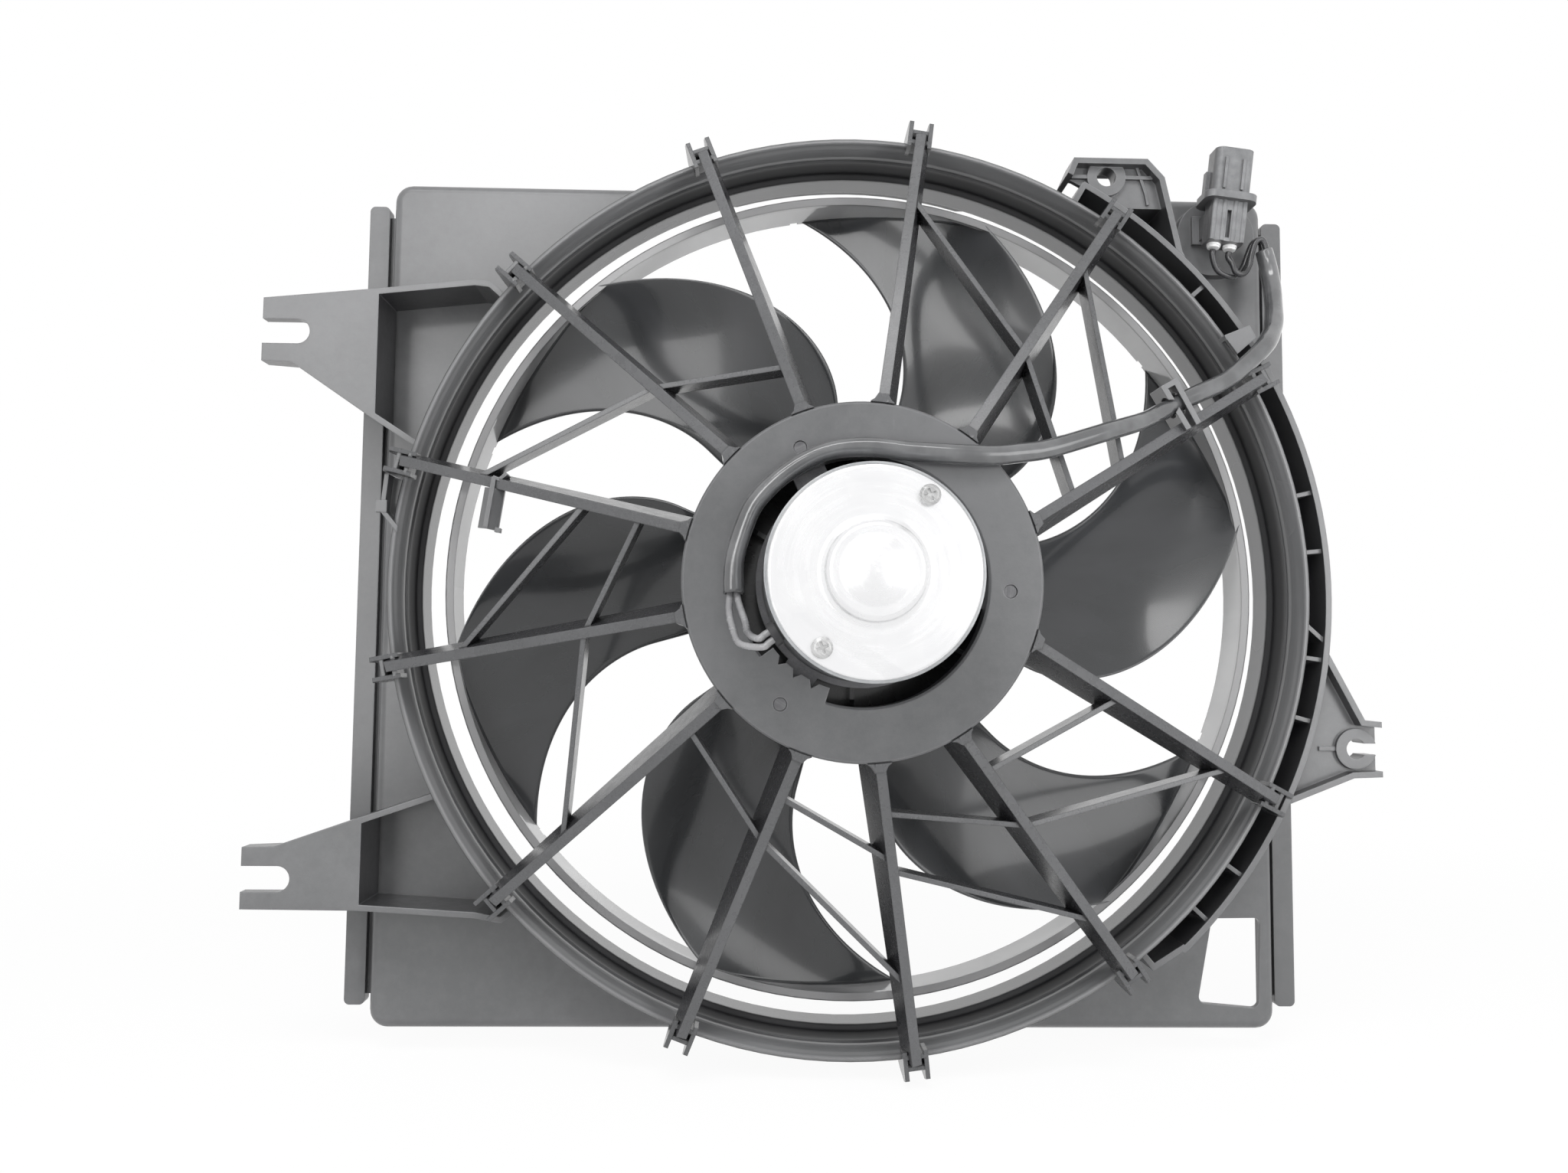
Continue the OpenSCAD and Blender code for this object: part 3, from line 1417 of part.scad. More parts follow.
module connector_terminals() {
    color([0.82, 0.82, 0.78])
        stand()
            at_conn()
                for (s = [-1, 1])
                    translate([s * pin_pitch / 2 - 2.5, -rear_len + 4, -0.4])
                        cube([5, rear_len + hood_len - 10, 0.8]);
}

module wire_seals() {
    color([0.9, 0.9, 0.88])
        stand()
            at_conn()
                for (s = [-1, 1])
                    translate([s * pin_pitch / 2, -rear_len - 1.8, 0])
                        rotate([-90, 0, 0])
                            difference() {
                                union() {
                                    cylinder(d = seal_d, h = 5.8);
                                    cylinder(d = 3.8, h = 1, $fn = 48);
                                    translate([0, 0, 0.8]) cylinder(d = seal_d + 0.8, h = 1);
                                }
                                translate([0, 0, -2]) cylinder(d = wire_d, h = 1.6);
                            }
}

module connector_clip() {
    top_z = conn_z - hood_d / 2 + 1;
    color([0.24, 0.24, 0.25])
        stand()
            translate([0, 0, boss_z])
                difference() {
                    union() {
                        translate([conn_x - 8, conn_y - 15, 0]) cube([12, 10, top_z - boss_z]);
                        translate([conn_x - 11, conn_y - 16.5, 0]) cube([18, 13, 2]);
                    }
                    translate([0, 0, -boss_z]) at_conn() bar(hood_w - 1, hood_d - 2, -60, 60, 3);
                }
}

shroud_tray();
duct_ring();
trough_wall();
upper_left_ear();
lower_left_ear();
keyhole_ear();
upper_right_lug();
motor_plate();
spokes();
spoke_braces();
spoke_feet();
lead_guides();
fan_hub();
fan_blades();
fan_band();
hub_insert();
fan_washer();
fan_nut();
motor_shaft();
armature_core();
armature_winding();
commutator();
thrust_washers();
motor_can();
end_cap();
motor_flange();
magnets();
front_bearing();
rear_bearing();
brush_plate();
brush_holders();
brushes();
brush_springs();
tie_bolts();
flange_screws();
lead_grommet();
motor_wires();
lead_sleeve();
connector_wires();
connector_housing();
connector_terminals();
wire_seals();
connector_clip();
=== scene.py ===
# Radiator cooling fan: finishes, smooth pieces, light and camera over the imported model
import json
import math

import bmesh
import bpy
from mathutils import Matrix, Vector


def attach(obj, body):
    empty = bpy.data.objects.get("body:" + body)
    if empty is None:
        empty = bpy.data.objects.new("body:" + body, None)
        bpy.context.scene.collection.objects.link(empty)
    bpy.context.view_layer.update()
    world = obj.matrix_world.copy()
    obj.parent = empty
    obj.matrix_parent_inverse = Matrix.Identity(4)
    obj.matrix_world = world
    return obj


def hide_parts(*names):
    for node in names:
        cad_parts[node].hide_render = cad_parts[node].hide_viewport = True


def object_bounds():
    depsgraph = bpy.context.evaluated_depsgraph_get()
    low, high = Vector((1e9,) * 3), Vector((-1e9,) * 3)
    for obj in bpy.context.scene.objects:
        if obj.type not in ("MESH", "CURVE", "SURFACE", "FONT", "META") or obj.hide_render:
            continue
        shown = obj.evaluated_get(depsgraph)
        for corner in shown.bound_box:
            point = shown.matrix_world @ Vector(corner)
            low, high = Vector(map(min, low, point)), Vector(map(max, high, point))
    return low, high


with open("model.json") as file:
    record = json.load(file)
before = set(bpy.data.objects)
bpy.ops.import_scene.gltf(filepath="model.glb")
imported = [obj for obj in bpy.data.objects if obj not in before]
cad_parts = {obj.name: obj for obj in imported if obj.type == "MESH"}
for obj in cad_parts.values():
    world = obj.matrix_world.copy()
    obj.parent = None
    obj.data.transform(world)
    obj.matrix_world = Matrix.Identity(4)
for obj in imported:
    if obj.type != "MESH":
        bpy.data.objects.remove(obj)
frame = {"nodes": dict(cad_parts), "record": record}
nodes = frame["nodes"]
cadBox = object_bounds()
print("model loaded:", len(nodes), "nodes")

edgeLook = {
    "samples": 4,              # rays of each bevel
    "wearAndHighlightEdge": (0.99, 0.80),      # cosine between rounded and flat normal: no pale edge, full pale edge (part wear, part painted highlight)
    "facing": (0.25, 0.75),    # share of the normal along the fan's axis: a wall (painted shade), a face
}
usualNoise = (0.3, 0.7)        # most values of a noise lie between these


class Link:
    # Wraps a socket, so that shader maths reads as plain maths
    def __init__(self, finish, socket):
        self.finish = finish
        self.socket = socket

    def __add__(self, other):
        return self.finish.maths("ADD", self, other)

    def __rsub__(self, other):
        return self.finish.maths("SUBTRACT", other, self)

    def __mul__(self, other):
        return self.finish.maths("MULTIPLY", self, other)

    def __pow__(self, other):
        return self.finish.maths("POWER", self, other)


class Finish:
    # Shader nodes of one material or of the world
    def __init__(self, name, kind="Material"):
        store = bpy.data.worlds if kind == "World" else bpy.data.materials
        self.owner = store.new(name)
        self.owner.use_nodes = True
        self.tree = self.owner.node_tree
        self.tree.nodes.clear()
        self.output = self.tree.nodes.new("ShaderNodeOutput" + kind)
        self.spot = None
        self.round = None

    def node(self, kind, settings=None, values=None, out=0):
        item = self.tree.nodes.new("ShaderNode" + kind)
        for key, value in (settings or {}).items():
            setattr(item, key, value)
        for key, value in (values or {}).items():
            socket = item.inputs[key]
            if isinstance(value, Link):
                self.tree.links.new(value.socket, socket)
            elif socket.type == "RGBA":
                socket.default_value = (*value, 1.0)
            else:
                socket.default_value = value
        return Link(self, item.outputs[out])

    def maths(self, operation, a, b):
        return self.node("Math", {"operation": operation}, {0: a, 1: b})

    def place(self):
        # Object coordinates in metres, made once
        if self.spot is None:
            self.spot = self.node("TexCoord", out="Object")
        return self.spot

    def polar(self):
        # Distance from the fan's axis, angle round it and depth along it, made once
        if self.round is None:
            split = self.node("SeparateXYZ", None, {0: self.place()}).socket.node
            x, y, z = (Link(self, split.outputs[i]) for i in range(3))
            self.round = (x * x + z * z) ** 0.5, self.maths("ARCTAN2", z, x), y
        return self.round

    def stretch(self, factors):
        values = {0: self.place(), 1: factors}
        return self.node("VectorMath", {"operation": "MULTIPLY"}, values)

    def around(self, factors):
        # A place for a noise that runs round the axis: distance, angle and depth, each stretched
        parts = zip(self.polar(), factors)
        return self.node("CombineXYZ", None, {i: a * b for i, (a, b) in enumerate(parts)})

    def noise(self, scale, detail=3.0, where=None, rough=0.5, twist=0.0):
        return self.node("TexNoise", None, {"Vector": where or self.place(), "Scale": scale,
                         "Detail": detail, "Roughness": rough, "Distortion": twist}, "Fac")

    def span(self, value, low, high, toLow=0.0, toHigh=1.0):
        return self.node("MapRange", {"interpolation_type": "SMOOTHSTEP"}, {"Value": value,
                         "From Min": low, "From Max": high, "To Min": toLow, "To Max": toHigh})

    def between(self, noise, ends):
        return self.span(noise, *usualNoise, *ends)

    def blend(self, first, second, share=0.5):
        return first * share + second * (1 - share)

    def tint(self, factor, first, second):
        return self.node("Mix", {"data_type": "RGBA"}, {"Factor": factor, 6: first, 7: second}, 2)

    def shade(self, pattern, look):
        return self.tint(self.span(pattern, *look["spread"]), look["dark"], look["light"])

    def rounded(self, radius):
        return self.node("Bevel", {"samples": edgeLook["samples"]}, {"Radius": radius})

    def bump(self, height, look):
        strength, reach = look["relief"]
        values = {"Height": height, "Strength": strength, "Distance": reach}
        if "edge" in look:
            values["Normal"] = self.rounded(look["edge"])
        return self.node("Bump", None, values)

    def edgeShare(self, edge):
        # Share of an edge: how far the rounded normal turns away from the flat one
        values = {0: self.rounded(edge), 1: self.node("NewGeometry", out="True Normal")}
        same = self.node("VectorMath", {"operation": "DOT_PRODUCT"}, values, "Value")
        return self.span(same, *edgeLook["wearAndHighlightEdge"])

    def facing(self):
        # 1 on faces that look along the fan's axis, 0 on the walls beside them
        flat = self.node("NewGeometry", out="True Normal")
        along = self.node("SeparateXYZ", None, {0: flat}, "Y")
        return self.span(self.maths("ABSOLUTE", along, 0.0), *edgeLook["facing"])

    def end(self, shader):
        self.tree.links.new(shader.socket, self.output.inputs["Surface"])
        return self.owner

    def close(self, **values):
        names = {"colour": "Base Color", "rough": "Roughness", "metal": "Metallic",
                 "normal": "Normal", "coat": "Coat Weight", "coatRough": "Coat Roughness",
                 "gloss": "Specular IOR Level"}
        return self.end(self.node("BsdfPrincipled", None,
                                  {names[key]: value for key, value in values.items()}))


def mouldedPlastic(name, look):
    # Moulded plastic with broad clouds, fine pitted grain and a few pale rubs, painted shade on
    # the walls beside its faces, and pale edges that are part wear and part painted highlight
    f = Finish(name)
    clouds = f.noise(look["cloudScale"], detail=5.0, rough=0.6)
    speck = f.noise(look["speckScale"], rough=0.7)
    grain = f.noise(look["grainScale"], detail=2.0)
    colour = f.shade(f.blend(clouds, speck, look["cloudShare"]), look)
    streaks = f.noise(look["rubScale"], detail=4.0, where=f.stretch(look["rubStretch"]),
                      rough=0.65, twist=0.4)
    rubs = f.span(streaks, *look["rubStreaks"]) * f.span(clouds, *look["rubClouds"])
    colour = f.tint(rubs * look["rubs"], colour, look["rubAndEdgeHighlightColour"])
    # Painted shade: walls beside the faces take the darker side colour
    colour = f.tint(f.facing(), look["sideShadeColour"], colour)
    # Pale edges, part wear and part painted highlight
    if look["wearAndHighlightEdge"]:
        colour = f.tint(f.edgeShare(look["edge"]) * look["wearAndHighlightEdge"], colour, look["rubAndEdgeHighlightColour"])
    rough = f.between(speck, look["rough"]) + rubs * look["rubRough"]
    normal = f.bump(grain + speck * look["speckDepth"], look)
    return f.close(colour=colour, rough=rough, normal=normal, gloss=look["gloss"],
                   coat=look["coat"], coatRough=look["coatRough"])


def rolledPlastic(name, look):
    # Smooth moulded ring: duller inside its bore, painted shade there and on its outer wall, and
    # a painted highlight on the rolled edge
    f = Finish(name)
    far, _, depth = f.polar()
    clouds = f.noise(look["cloudScale"], detail=4.0)
    grain = f.noise(look["grainScale"], detail=2.0)
    bore = f.span(depth, *look["boreFront"]) * (1.0 - f.span(depth, *look["boreBack"]))
    edge = 1.0 - f.span(depth, *look["rolledEdge"])
    back = f.span(far, *look["backSide"]) * (1.0 - edge)
    # Painted shade: the bore and the outer wall take the dark bore colour
    paintedShade = f.span(bore + back * look["backShadeShare"], 0.0, 1.0)
    colour = f.tint(paintedShade, f.shade(clouds, look), look["boreShadeColour"])
    # Painted highlight: the rolled edge is made pale
    colour = f.tint(edge, colour, look["edgeHighlightColour"])
    rough = f.between(clouds, look["rough"]) + bore * look["boreRough"]
    normal = f.bump(grain + clouds * look["cloudDepth"], look)
    return f.close(colour=colour, rough=rough, normal=normal, gloss=look["gloss"],
                   coat=(1.0 - bore) * look["coat"], coatRough=look["coatRough"])


def bladePlastic(name, look):
    # Satin plastic with slow flow marks that run out from the hub, a duller front rim, and pale
    # edges that are part wear and part painted highlight
    f = Finish(name)
    depth = f.polar()[2]
    marks = f.noise(look["flowScale"], where=f.around(look["flow"]), twist=0.4)
    clouds = f.noise(look["cloudScale"])
    grain = f.noise(look["grainScale"], detail=2.0)
    colour = f.shade(f.blend(marks, clouds, look["flowShare"]), look)
    rim = 1.0 - f.span(depth, *look["rim"])
    colour = f.tint(rim, colour, look["rimColour"])
    # Pale edges, part wear and part painted highlight
    colour = f.tint(f.edgeShare(look["edge"]) * look["wearAndHighlightEdge"], colour, look["wearAndHighlightColour"])
    rough = f.between(clouds, look["rough"]) + rim * look["rimRough"]
    normal = f.bump(clouds + grain * look["grainShare"], look)
    return f.close(colour=colour, rough=rough, normal=normal, gloss=look["gloss"],
                   coat=look["coat"], coatRough=look["coatRough"])


def zincSteel(name, look):
    # Zinc coated sheet: soft crystal patches, faint drawing marks and a few stains
    f = Finish(name)
    cells = f.node("TexVoronoi", {"feature": "F1"}, {"Vector": f.place(), "Scale": look["cell"],
                   "Randomness": 1.0}, "Color")
    patch = f.node("SeparateColor", None, {0: cells})
    marks = f.noise(1.0, where=f.around(look["drawn"]))
    clouds = f.noise(look["cloudScale"], detail=4.0, rough=0.6)
    colour = f.shade(patch * look["patches"] + clouds * look["clouds"] + marks * look["marks"],
                     look)
    spots = f.noise(look["stainScale"], detail=5.0, rough=0.7)
    stain = f.span(spots, *look["stainSpread"]) * look["stain"]
    colour = f.tint(stain, colour, look["stainColour"])
    rough = f.between(f.blend(clouds, marks), look["rough"]) + stain * look["stainRough"]
    normal = f.bump(marks * look["marks"] + patch * look["patchDepth"] + clouds, look)
    return f.close(colour=colour, rough=rough, metal=1.0, normal=normal)


def plainMetal(name, look):
    # Metal with fine lines round the fan's axis or across it
    f = Finish(name)
    where = f.around(look["turnedLines"]) if look["turned"] else f.stretch(look["plainLines"])
    lines = f.noise(1.0, where=where)
    clouds = f.noise(look["cloudScale"], detail=4.0, rough=0.65)
    colour = f.shade(f.blend(lines, clouds, look["lineShare"]), look)
    rough = f.between(f.blend(lines, clouds), look["rough"])
    return f.close(colour=colour, rough=rough, metal=1.0, normal=f.bump(lines, look))


def pressedPowder(name, look):
    # Grainy pressed material: ferrite, carbon or porous bronze
    f = Finish(name)
    grain = f.noise(look["grainScale"], detail=4.0, rough=0.75)
    clouds = f.noise(look["cloudScale"])
    colour = f.shade(f.blend(grain, clouds, look["grainShare"]), look)
    low, high = look["rough"]
    rough = f.between(grain, (high, low))
    normal = f.bump(f.span(grain, *look["pits"]) + grain * look["grainDepth"], look)
    return f.close(colour=colour, rough=rough, metal=look["metal"], normal=normal)


def softPlastic(name, look):
    # Soft jacket, rubber or silicone: slow dents, faint drag marks and dust
    f = Finish(name)
    dents = f.noise(look["dentScale"])
    drag = f.noise(look["dragScale"], rough=0.6)
    specks = f.noise(look["dustScale"], detail=5.0, rough=0.75)
    dust = f.span(specks, *look["dustSpread"]) * look["dust"]
    colour = f.tint(dust, f.shade(dents, look), look["dustColour"])
    rough = f.between(drag, look["rough"]) + dust * look["dustRough"]
    normal = f.bump(dents + drag * look["dragDepth"], look)
    return f.close(colour=colour, rough=rough, normal=normal, gloss=look["gloss"],
                   coat=look["coat"], coatRough=look["coatRough"])


def bandedMetal(name, look):
    # Enamelled wire laid in turns, or thin steel sheets stacked along the axis
    f = Finish(name)
    bands = f.node("TexWave", {"wave_type": "BANDS", "bands_direction": look["direction"]},
                   {"Vector": f.place(), **look["bands"]}, "Fac")
    scale, detail, roughness = look["clouds"]
    clouds = f.noise(scale, detail, rough=roughness)
    colour = f.tint(f.blend(bands, clouds, look["bandShare"]), look["dark"], look["light"])
    rough = f.between(clouds, look["rough"])
    return f.close(colour=colour, rough=rough, metal=look["metal"], normal=f.bump(bands, look))


def paperBoard(name, look):
    # Pressed resin board or washer with fine fibres
    f = Finish(name)
    fibres = f.noise(1.0, detail=5.0, where=f.stretch(look["fibres"]), rough=0.7, twist=0.6)
    clouds = f.noise(look["cloudScale"], detail=4.0)
    colour = f.shade(f.blend(fibres, clouds, look["fibreShare"]), look)
    rough = f.between(fibres, look["rough"])
    return f.close(colour=colour, rough=rough, normal=f.bump(fibres, look), gloss=look["gloss"])


# In every look: lengths in metres, "spread" the pattern values that show dark and light,
# "relief" the bump's strength and reach, "edge" the radius of the rounded edges

shroudLook = {
    "dark": (0.074, 0.075, 0.077), "light": (0.110, 0.111, 0.114), "spread": (0.34, 0.66),
    "cloudScale": 7.0, "cloudShare": 0.8, "speckScale": 240.0, "speckDepth": 0.7,
    "grainScale": 1300.0, "relief": (0.10, 0.0002), "edge": 0.0008,
    # The rub colour also paints the pale edges, which are part wear and part painted highlight
    "rubs": 0.15, "rubAndEdgeHighlightColour": (0.30, 0.30, 0.31), "rubScale": 3.1, "rubRough": 0.08,
    "rubStretch": (40.0, 300.0, 9.0), "rubStreaks": (0.66, 0.80), "rubClouds": (0.48, 0.62),
    # The side colour is painted shade on the walls beside the faces
    "wearAndHighlightEdge": 0.40, "sideShadeColour": (0.036, 0.036, 0.038),
    "rough": (0.29, 0.34), "gloss": 0.5, "coat": 0.25, "coatRough": 0.16,
}
# Motor plate: a darker copy of the shroud plastic, painted shade
plateLook = {**shroudLook, "dark": (0.060, 0.061, 0.063), "light": (0.091, 0.092, 0.095)}
# Spokes: darker than the shroud plastic they are part of, painted shade where they stand behind
# the fan; their side colour is painted shade on the walls
vaneLook = {
    **shroudLook, "dark": (0.050, 0.051, 0.053), "light": (0.066, 0.067, 0.070),
    "cloudScale": 12.0, "relief": (0.05, 0.0002), "edge": 0.0007, "rubs": 0.0, "wearAndHighlightEdge": 0.0,
    "sideShadeColour": (0.026, 0.026, 0.028), "rough": (0.24, 0.32), "coat": 0.35,
}
connectorLook = {
    **shroudLook, "dark": (0.090, 0.092, 0.095), "light": (0.145, 0.147, 0.151),
    # The side colour is painted shade on the walls
    "cloudScale": 60.0, "edge": 0.0004, "rubs": 0.2, "sideShadeColour": (0.07, 0.07, 0.072),
    "rough": (0.30, 0.42),
}
ringLook = {
    "dark": (0.090, 0.091, 0.093), "light": (0.112, 0.113, 0.116), "spread": (0.35, 0.65),
    "cloudScale": 9.0, "cloudDepth": 0.5, "grainScale": 1300.0, "relief": (0.03, 0.0002),
    "edge": 0.0014,
    "boreFront": (-0.0440, -0.0340), "boreBack": (-0.0265, -0.0235),    # depths of the bore
    # The bore colour is painted shade, for the bore and the outer wall
    "boreShadeColour": (0.014, 0.014, 0.015), "boreRough": 0.25,
    # The edge colour is a painted highlight on the rolled edge
    "rolledEdge": (-0.0505, -0.0485), "edgeHighlightColour": (0.26, 0.26, 0.265),
    "backSide": (0.1925, 0.1935), "backShadeShare": 0.8,    # distances where the outer wall begins
    "rough": (0.22, 0.28), "gloss": 0.3, "coat": 0.6, "coatRough": 0.14,
}
bladeLook = {
    "dark": (0.016, 0.017, 0.018), "light": (0.023, 0.024, 0.026), "spread": (0.35, 0.66),
    "flow": (16.0, 5.0, 12.0), "flowScale": 1.6, "flowShare": 0.6,
    "cloudScale": 14.0, "grainScale": 1500.0, "grainShare": 0.06,
    "relief": (0.30, 0.001), "edge": 0.0006,
    "rim": (-0.2, -0.1),    # depths of the duller front edge, here in front of the blades
    "rimColour": (0.03, 0.03, 0.03), "rimRough": 0.1,
    # The pale edge colour is part wear and part painted highlight
    "wearAndHighlightEdge": 0.4, "wearAndHighlightColour": (0.16, 0.16, 0.165),
    "rough": (0.20, 0.25), "gloss": 0.4, "coat": 0.6, "coatRough": 0.09,
}
# The band's pale colour is a painted reflection of the bright surroundings on its inner wall; the
# front rim keeps a darker tone
bandLook = {
    **bladeLook, "dark": (0.36, 0.361, 0.364), "light": (0.42, 0.421, 0.424),
    "rim": (-0.0380, -0.0372), "rimColour": (0.12, 0.12, 0.122),
    "rough": (0.18, 0.24), "coat": 0.8,
}
zincLook = {
    "dark": (0.36, 0.37, 0.38), "light": (0.56, 0.57, 0.58), "spread": (0.25, 0.75),
    "cell": 210.0, "patches": 0.12, "patchDepth": 0.05, "cloudScale": 30.0, "clouds": 0.6,
    "drawn": (900.0, 1.5, 900.0), "marks": 0.28, "relief": (0.10, 0.0002), "edge": 0.0006,
    "stain": 0.2, "stainScale": 60.0, "stainSpread": (0.62, 0.8), "stainRough": 0.2,
    "stainColour": (0.36, 0.35, 0.33), "rough": (0.26, 0.36),
}
capLook = {
    **zincLook, "dark": (0.86, 0.86, 0.87), "light": (0.92, 0.92, 0.92), "cell": 150.0,
    "marks": 0.05, "stain": 0.05, "edge": 0.0012, "rough": (0.22, 0.30),
}
steelLook = {
    "dark": (0.42, 0.43, 0.45), "light": (0.62, 0.63, 0.65), "spread": (0.32, 0.68),
    "turned": True, "turnedLines": (1400.0, 2.0, 1400.0), "plainLines": (2400.0, 260.0, 2400.0),
    "lineShare": 0.4, "cloudScale": 90.0, "relief": (0.15, 0.0001), "edge": 0.0003,
    "rough": (0.2, 0.34),
}
powderLook = {
    "dark": (0.09, 0.09, 0.095), "light": (0.17, 0.17, 0.175), "spread": (0.36, 0.66),
    "grainScale": 900.0, "grainShare": 0.7, "grainDepth": 0.3, "cloudScale": 70.0,
    "pits": (0.30, 0.42), "relief": (0.35, 0.0001), "edge": 0.0004,
    "rough": (0.55, 0.75), "metal": 0.0,
}
jacketLook = {
    "dark": (0.018, 0.018, 0.019), "light": (0.030, 0.030, 0.032), "spread": (0.35, 0.65),
    "dentScale": 90.0, "dragScale": 420.0, "dragDepth": 0.08, "relief": (0.04, 0.0012),
    "dust": 0.15, "dustColour": (0.16, 0.155, 0.15), "dustScale": 160.0,
    "dustSpread": (0.56, 0.78), "dustRough": 0.25,
    "rough": (0.20, 0.30), "gloss": 0.5, "coat": 0.4, "coatRough": 0.12,
}
sleeveLook = {
    **jacketLook, "dark": (0.048, 0.049, 0.051), "light": (0.082, 0.083, 0.086),
    "dentScale": 60.0, "relief": (0.6, 0.0012), "dust": 0.08, "rough": (0.12, 0.18),
    "gloss": 0.6, "coat": 1.0,
}
windingLook = {
    "dark": (0.30, 0.09, 0.03), "light": (0.72, 0.34, 0.14), "direction": "DIAGONAL",
    "bands": {"Scale": 330.0, "Distortion": 2.2, "Detail": 2.0, "Detail Scale": 1.5},
    "bandShare": 0.7, "clouds": (120.0, 3.0, 0.5), "relief": (0.6, 0.0006),
    "rough": (0.22, 0.4), "metal": 0.85,
}
sheetLook = {
    "dark": (0.16, 0.16, 0.17), "light": (0.34, 0.34, 0.36), "direction": "Y",
    "bands": {"Scale": 620.0, "Distortion": 0.3, "Detail": 1.0},
    "bandShare": 0.5, "clouds": (140.0, 4.0, 0.7), "relief": (0.4, 0.0003), "edge": 0.0002,
    "rough": (0.3, 0.5), "metal": 0.9,
}
boardLook = {
    "dark": (0.16, 0.09, 0.04), "light": (0.30, 0.19, 0.10), "spread": (0.35, 0.65),
    "fibres": (1500.0, 3000.0, 220.0), "fibreShare": 0.6, "cloudScale": 60.0,
    "relief": (0.25, 0.0001), "edge": 0.0003, "rough": (0.5, 0.68), "gloss": 0.4,
}

finishes = {
    "shroud_plastic": mouldedPlastic("grainedShroudPlastic", shroudLook),
    "fan_plastic": bladePlastic("satinFanPlastic", bladeLook),
    "zinc_plated_steel": zincSteel("zincCoatedCan", zincLook),
    "cap_steel": zincSteel("brightDrawnCap", capLook),
    "ferrite": pressedPowder("magnetFerrite", powderLook),
    "bearing_bronze": pressedPowder("porousBronze", {
        **powderLook, "dark": (0.34, 0.22, 0.10), "light": (0.58, 0.42, 0.22),
        "metal": 1.0, "rough": (0.3, 0.5)}),
    "phenolic_board": paperBoard("brownResinBoard", boardLook),
    "brass_sheet": plainMetal("brassSheet", {
        **steelLook, "dark": (0.60, 0.45, 0.17), "light": (0.78, 0.64, 0.32),
        "turned": False}),
    "carbon": pressedPowder("brushCarbon", {
        **powderLook, "dark": (0.018, 0.018, 0.018), "light": (0.05, 0.05, 0.05),
        "rough": (0.5, 0.65)}),
    "spring_steel": plainMetal("springWire", steelLook),
    "plated_screws": plainMetal("platedFixings", {
        **steelLook, "dark": (0.42, 0.42, 0.42), "light": (0.66, 0.66, 0.66),
        "rough": (0.20, 0.32)}),
    "black_rubber": softPlastic("grommetRubber", {
        **jacketLook, "rough": (0.5, 0.65), "coat": 0.0}),
    "wire_jacket": softPlastic("wireJacket", jacketLook),
    "sleeve_plastic": softPlastic("shinySleeve", sleeveLook),
    "connector_plastic": mouldedPlastic("connectorPlastic", connectorLook),
    "tinned_brass": plainMetal("tinnedPins", {
        **steelLook, "dark": (0.66, 0.66, 0.63), "light": (0.84, 0.84, 0.81),
        "turned": False}),
    "white_silicone": softPlastic("paleSeals", {
        **jacketLook, "dark": (0.66, 0.66, 0.66), "light": (0.78, 0.78, 0.78),
        "dust": 0.1, "rough": (0.38, 0.5), "coat": 0.0}),
    "insert_steel": plainMetal("hubInsert", {
        **steelLook, "dark": (0.34, 0.35, 0.36), "light": (0.52, 0.53, 0.54)}),
    "shaft_steel": plainMetal("groundShaft", {**steelLook, "rough": (0.12, 0.22)}),
    "lamination_steel": bandedMetal("armatureSheets", sheetLook),
    "copper_wire": bandedMetal("windings", windingLook),
    "copper_bars": plainMetal("commutatorBars", {
        **steelLook, "dark": (0.60, 0.28, 0.14), "light": (0.86, 0.50, 0.30)}),
    "phenolic_washers": paperBoard("resinWashers", {
        **boardLook, "dark": (0.30, 0.21, 0.10), "light": (0.48, 0.36, 0.20)}),
}
ownFinish = {    # nodes that look different from the rest of their slot
    "flange_screws": plainMetal("darkFlangeScrews", {
        **steelLook, "dark": (0.10, 0.10, 0.105), "light": (0.20, 0.20, 0.205),
        "rough": (0.32, 0.45)}),
    # Painted shade: the flange is far darker than the metal of its slot, so it shows dark in the
    # gap behind the plate
    "motor_flange": plainMetal("flangePaintedShade", {
        **steelLook, "dark": (0.10, 0.10, 0.105), "light": (0.16, 0.16, 0.165),
        "rough": (0.4, 0.5), "turned": False}),
    "duct_ring": rolledPlastic("smoothRingPlastic", ringLook),
    # Painted shade: the plate is a darker copy of the shroud plastic
    "motor_plate": mouldedPlastic("platePlastic", plateLook),
    # Painted shade: the spokes are darker than the shroud plastic
    "spokes": mouldedPlastic("spokePlastic", vaneLook),
    "motor_wires": softPlastic("paleJacket", {
        **jacketLook, "dark": (0.16, 0.16, 0.165), "light": (0.22, 0.22, 0.225),
        "coat": 0.6}),
    # Painted reflection: the band is made pale
    "fan_band": bladePlastic("bandPaintedReflection", bandLook),
}
for twin in ("spoke_braces", "spoke_feet"):
    ownFinish[twin] = ownFinish["spokes"]


def dress(piece, material):
    if not piece.material_slots:
        piece.data.materials.append(material)
    for slot in piece.material_slots:
        slot.material = material


for part in frame["record"]["subparts"]:
    name = part["node"]
    dress(nodes[name], ownFinish.get(name, finishes[part["material_slot"]]))
print("finishes made:", len(finishes) + len(ownFinish))


def addPiece(name, points, faces, material, body, slot, *stands):
    mesh = bpy.data.meshes.new(name)
    mesh.from_pydata(points, [], faces)
    tidy = bmesh.new()
    tidy.from_mesh(mesh)
    bmesh.ops.recalc_face_normals(tidy, faces=tidy.faces)
    tidy.to_mesh(mesh)
    tidy.free()
    mesh.shade_smooth()
    mesh.materials.append(material)
    piece = bpy.data.objects.new(name, mesh)
    bpy.context.scene.collection.objects.link(piece)
    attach(piece, body)
    if stands:
        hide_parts(*stands)
    return piece


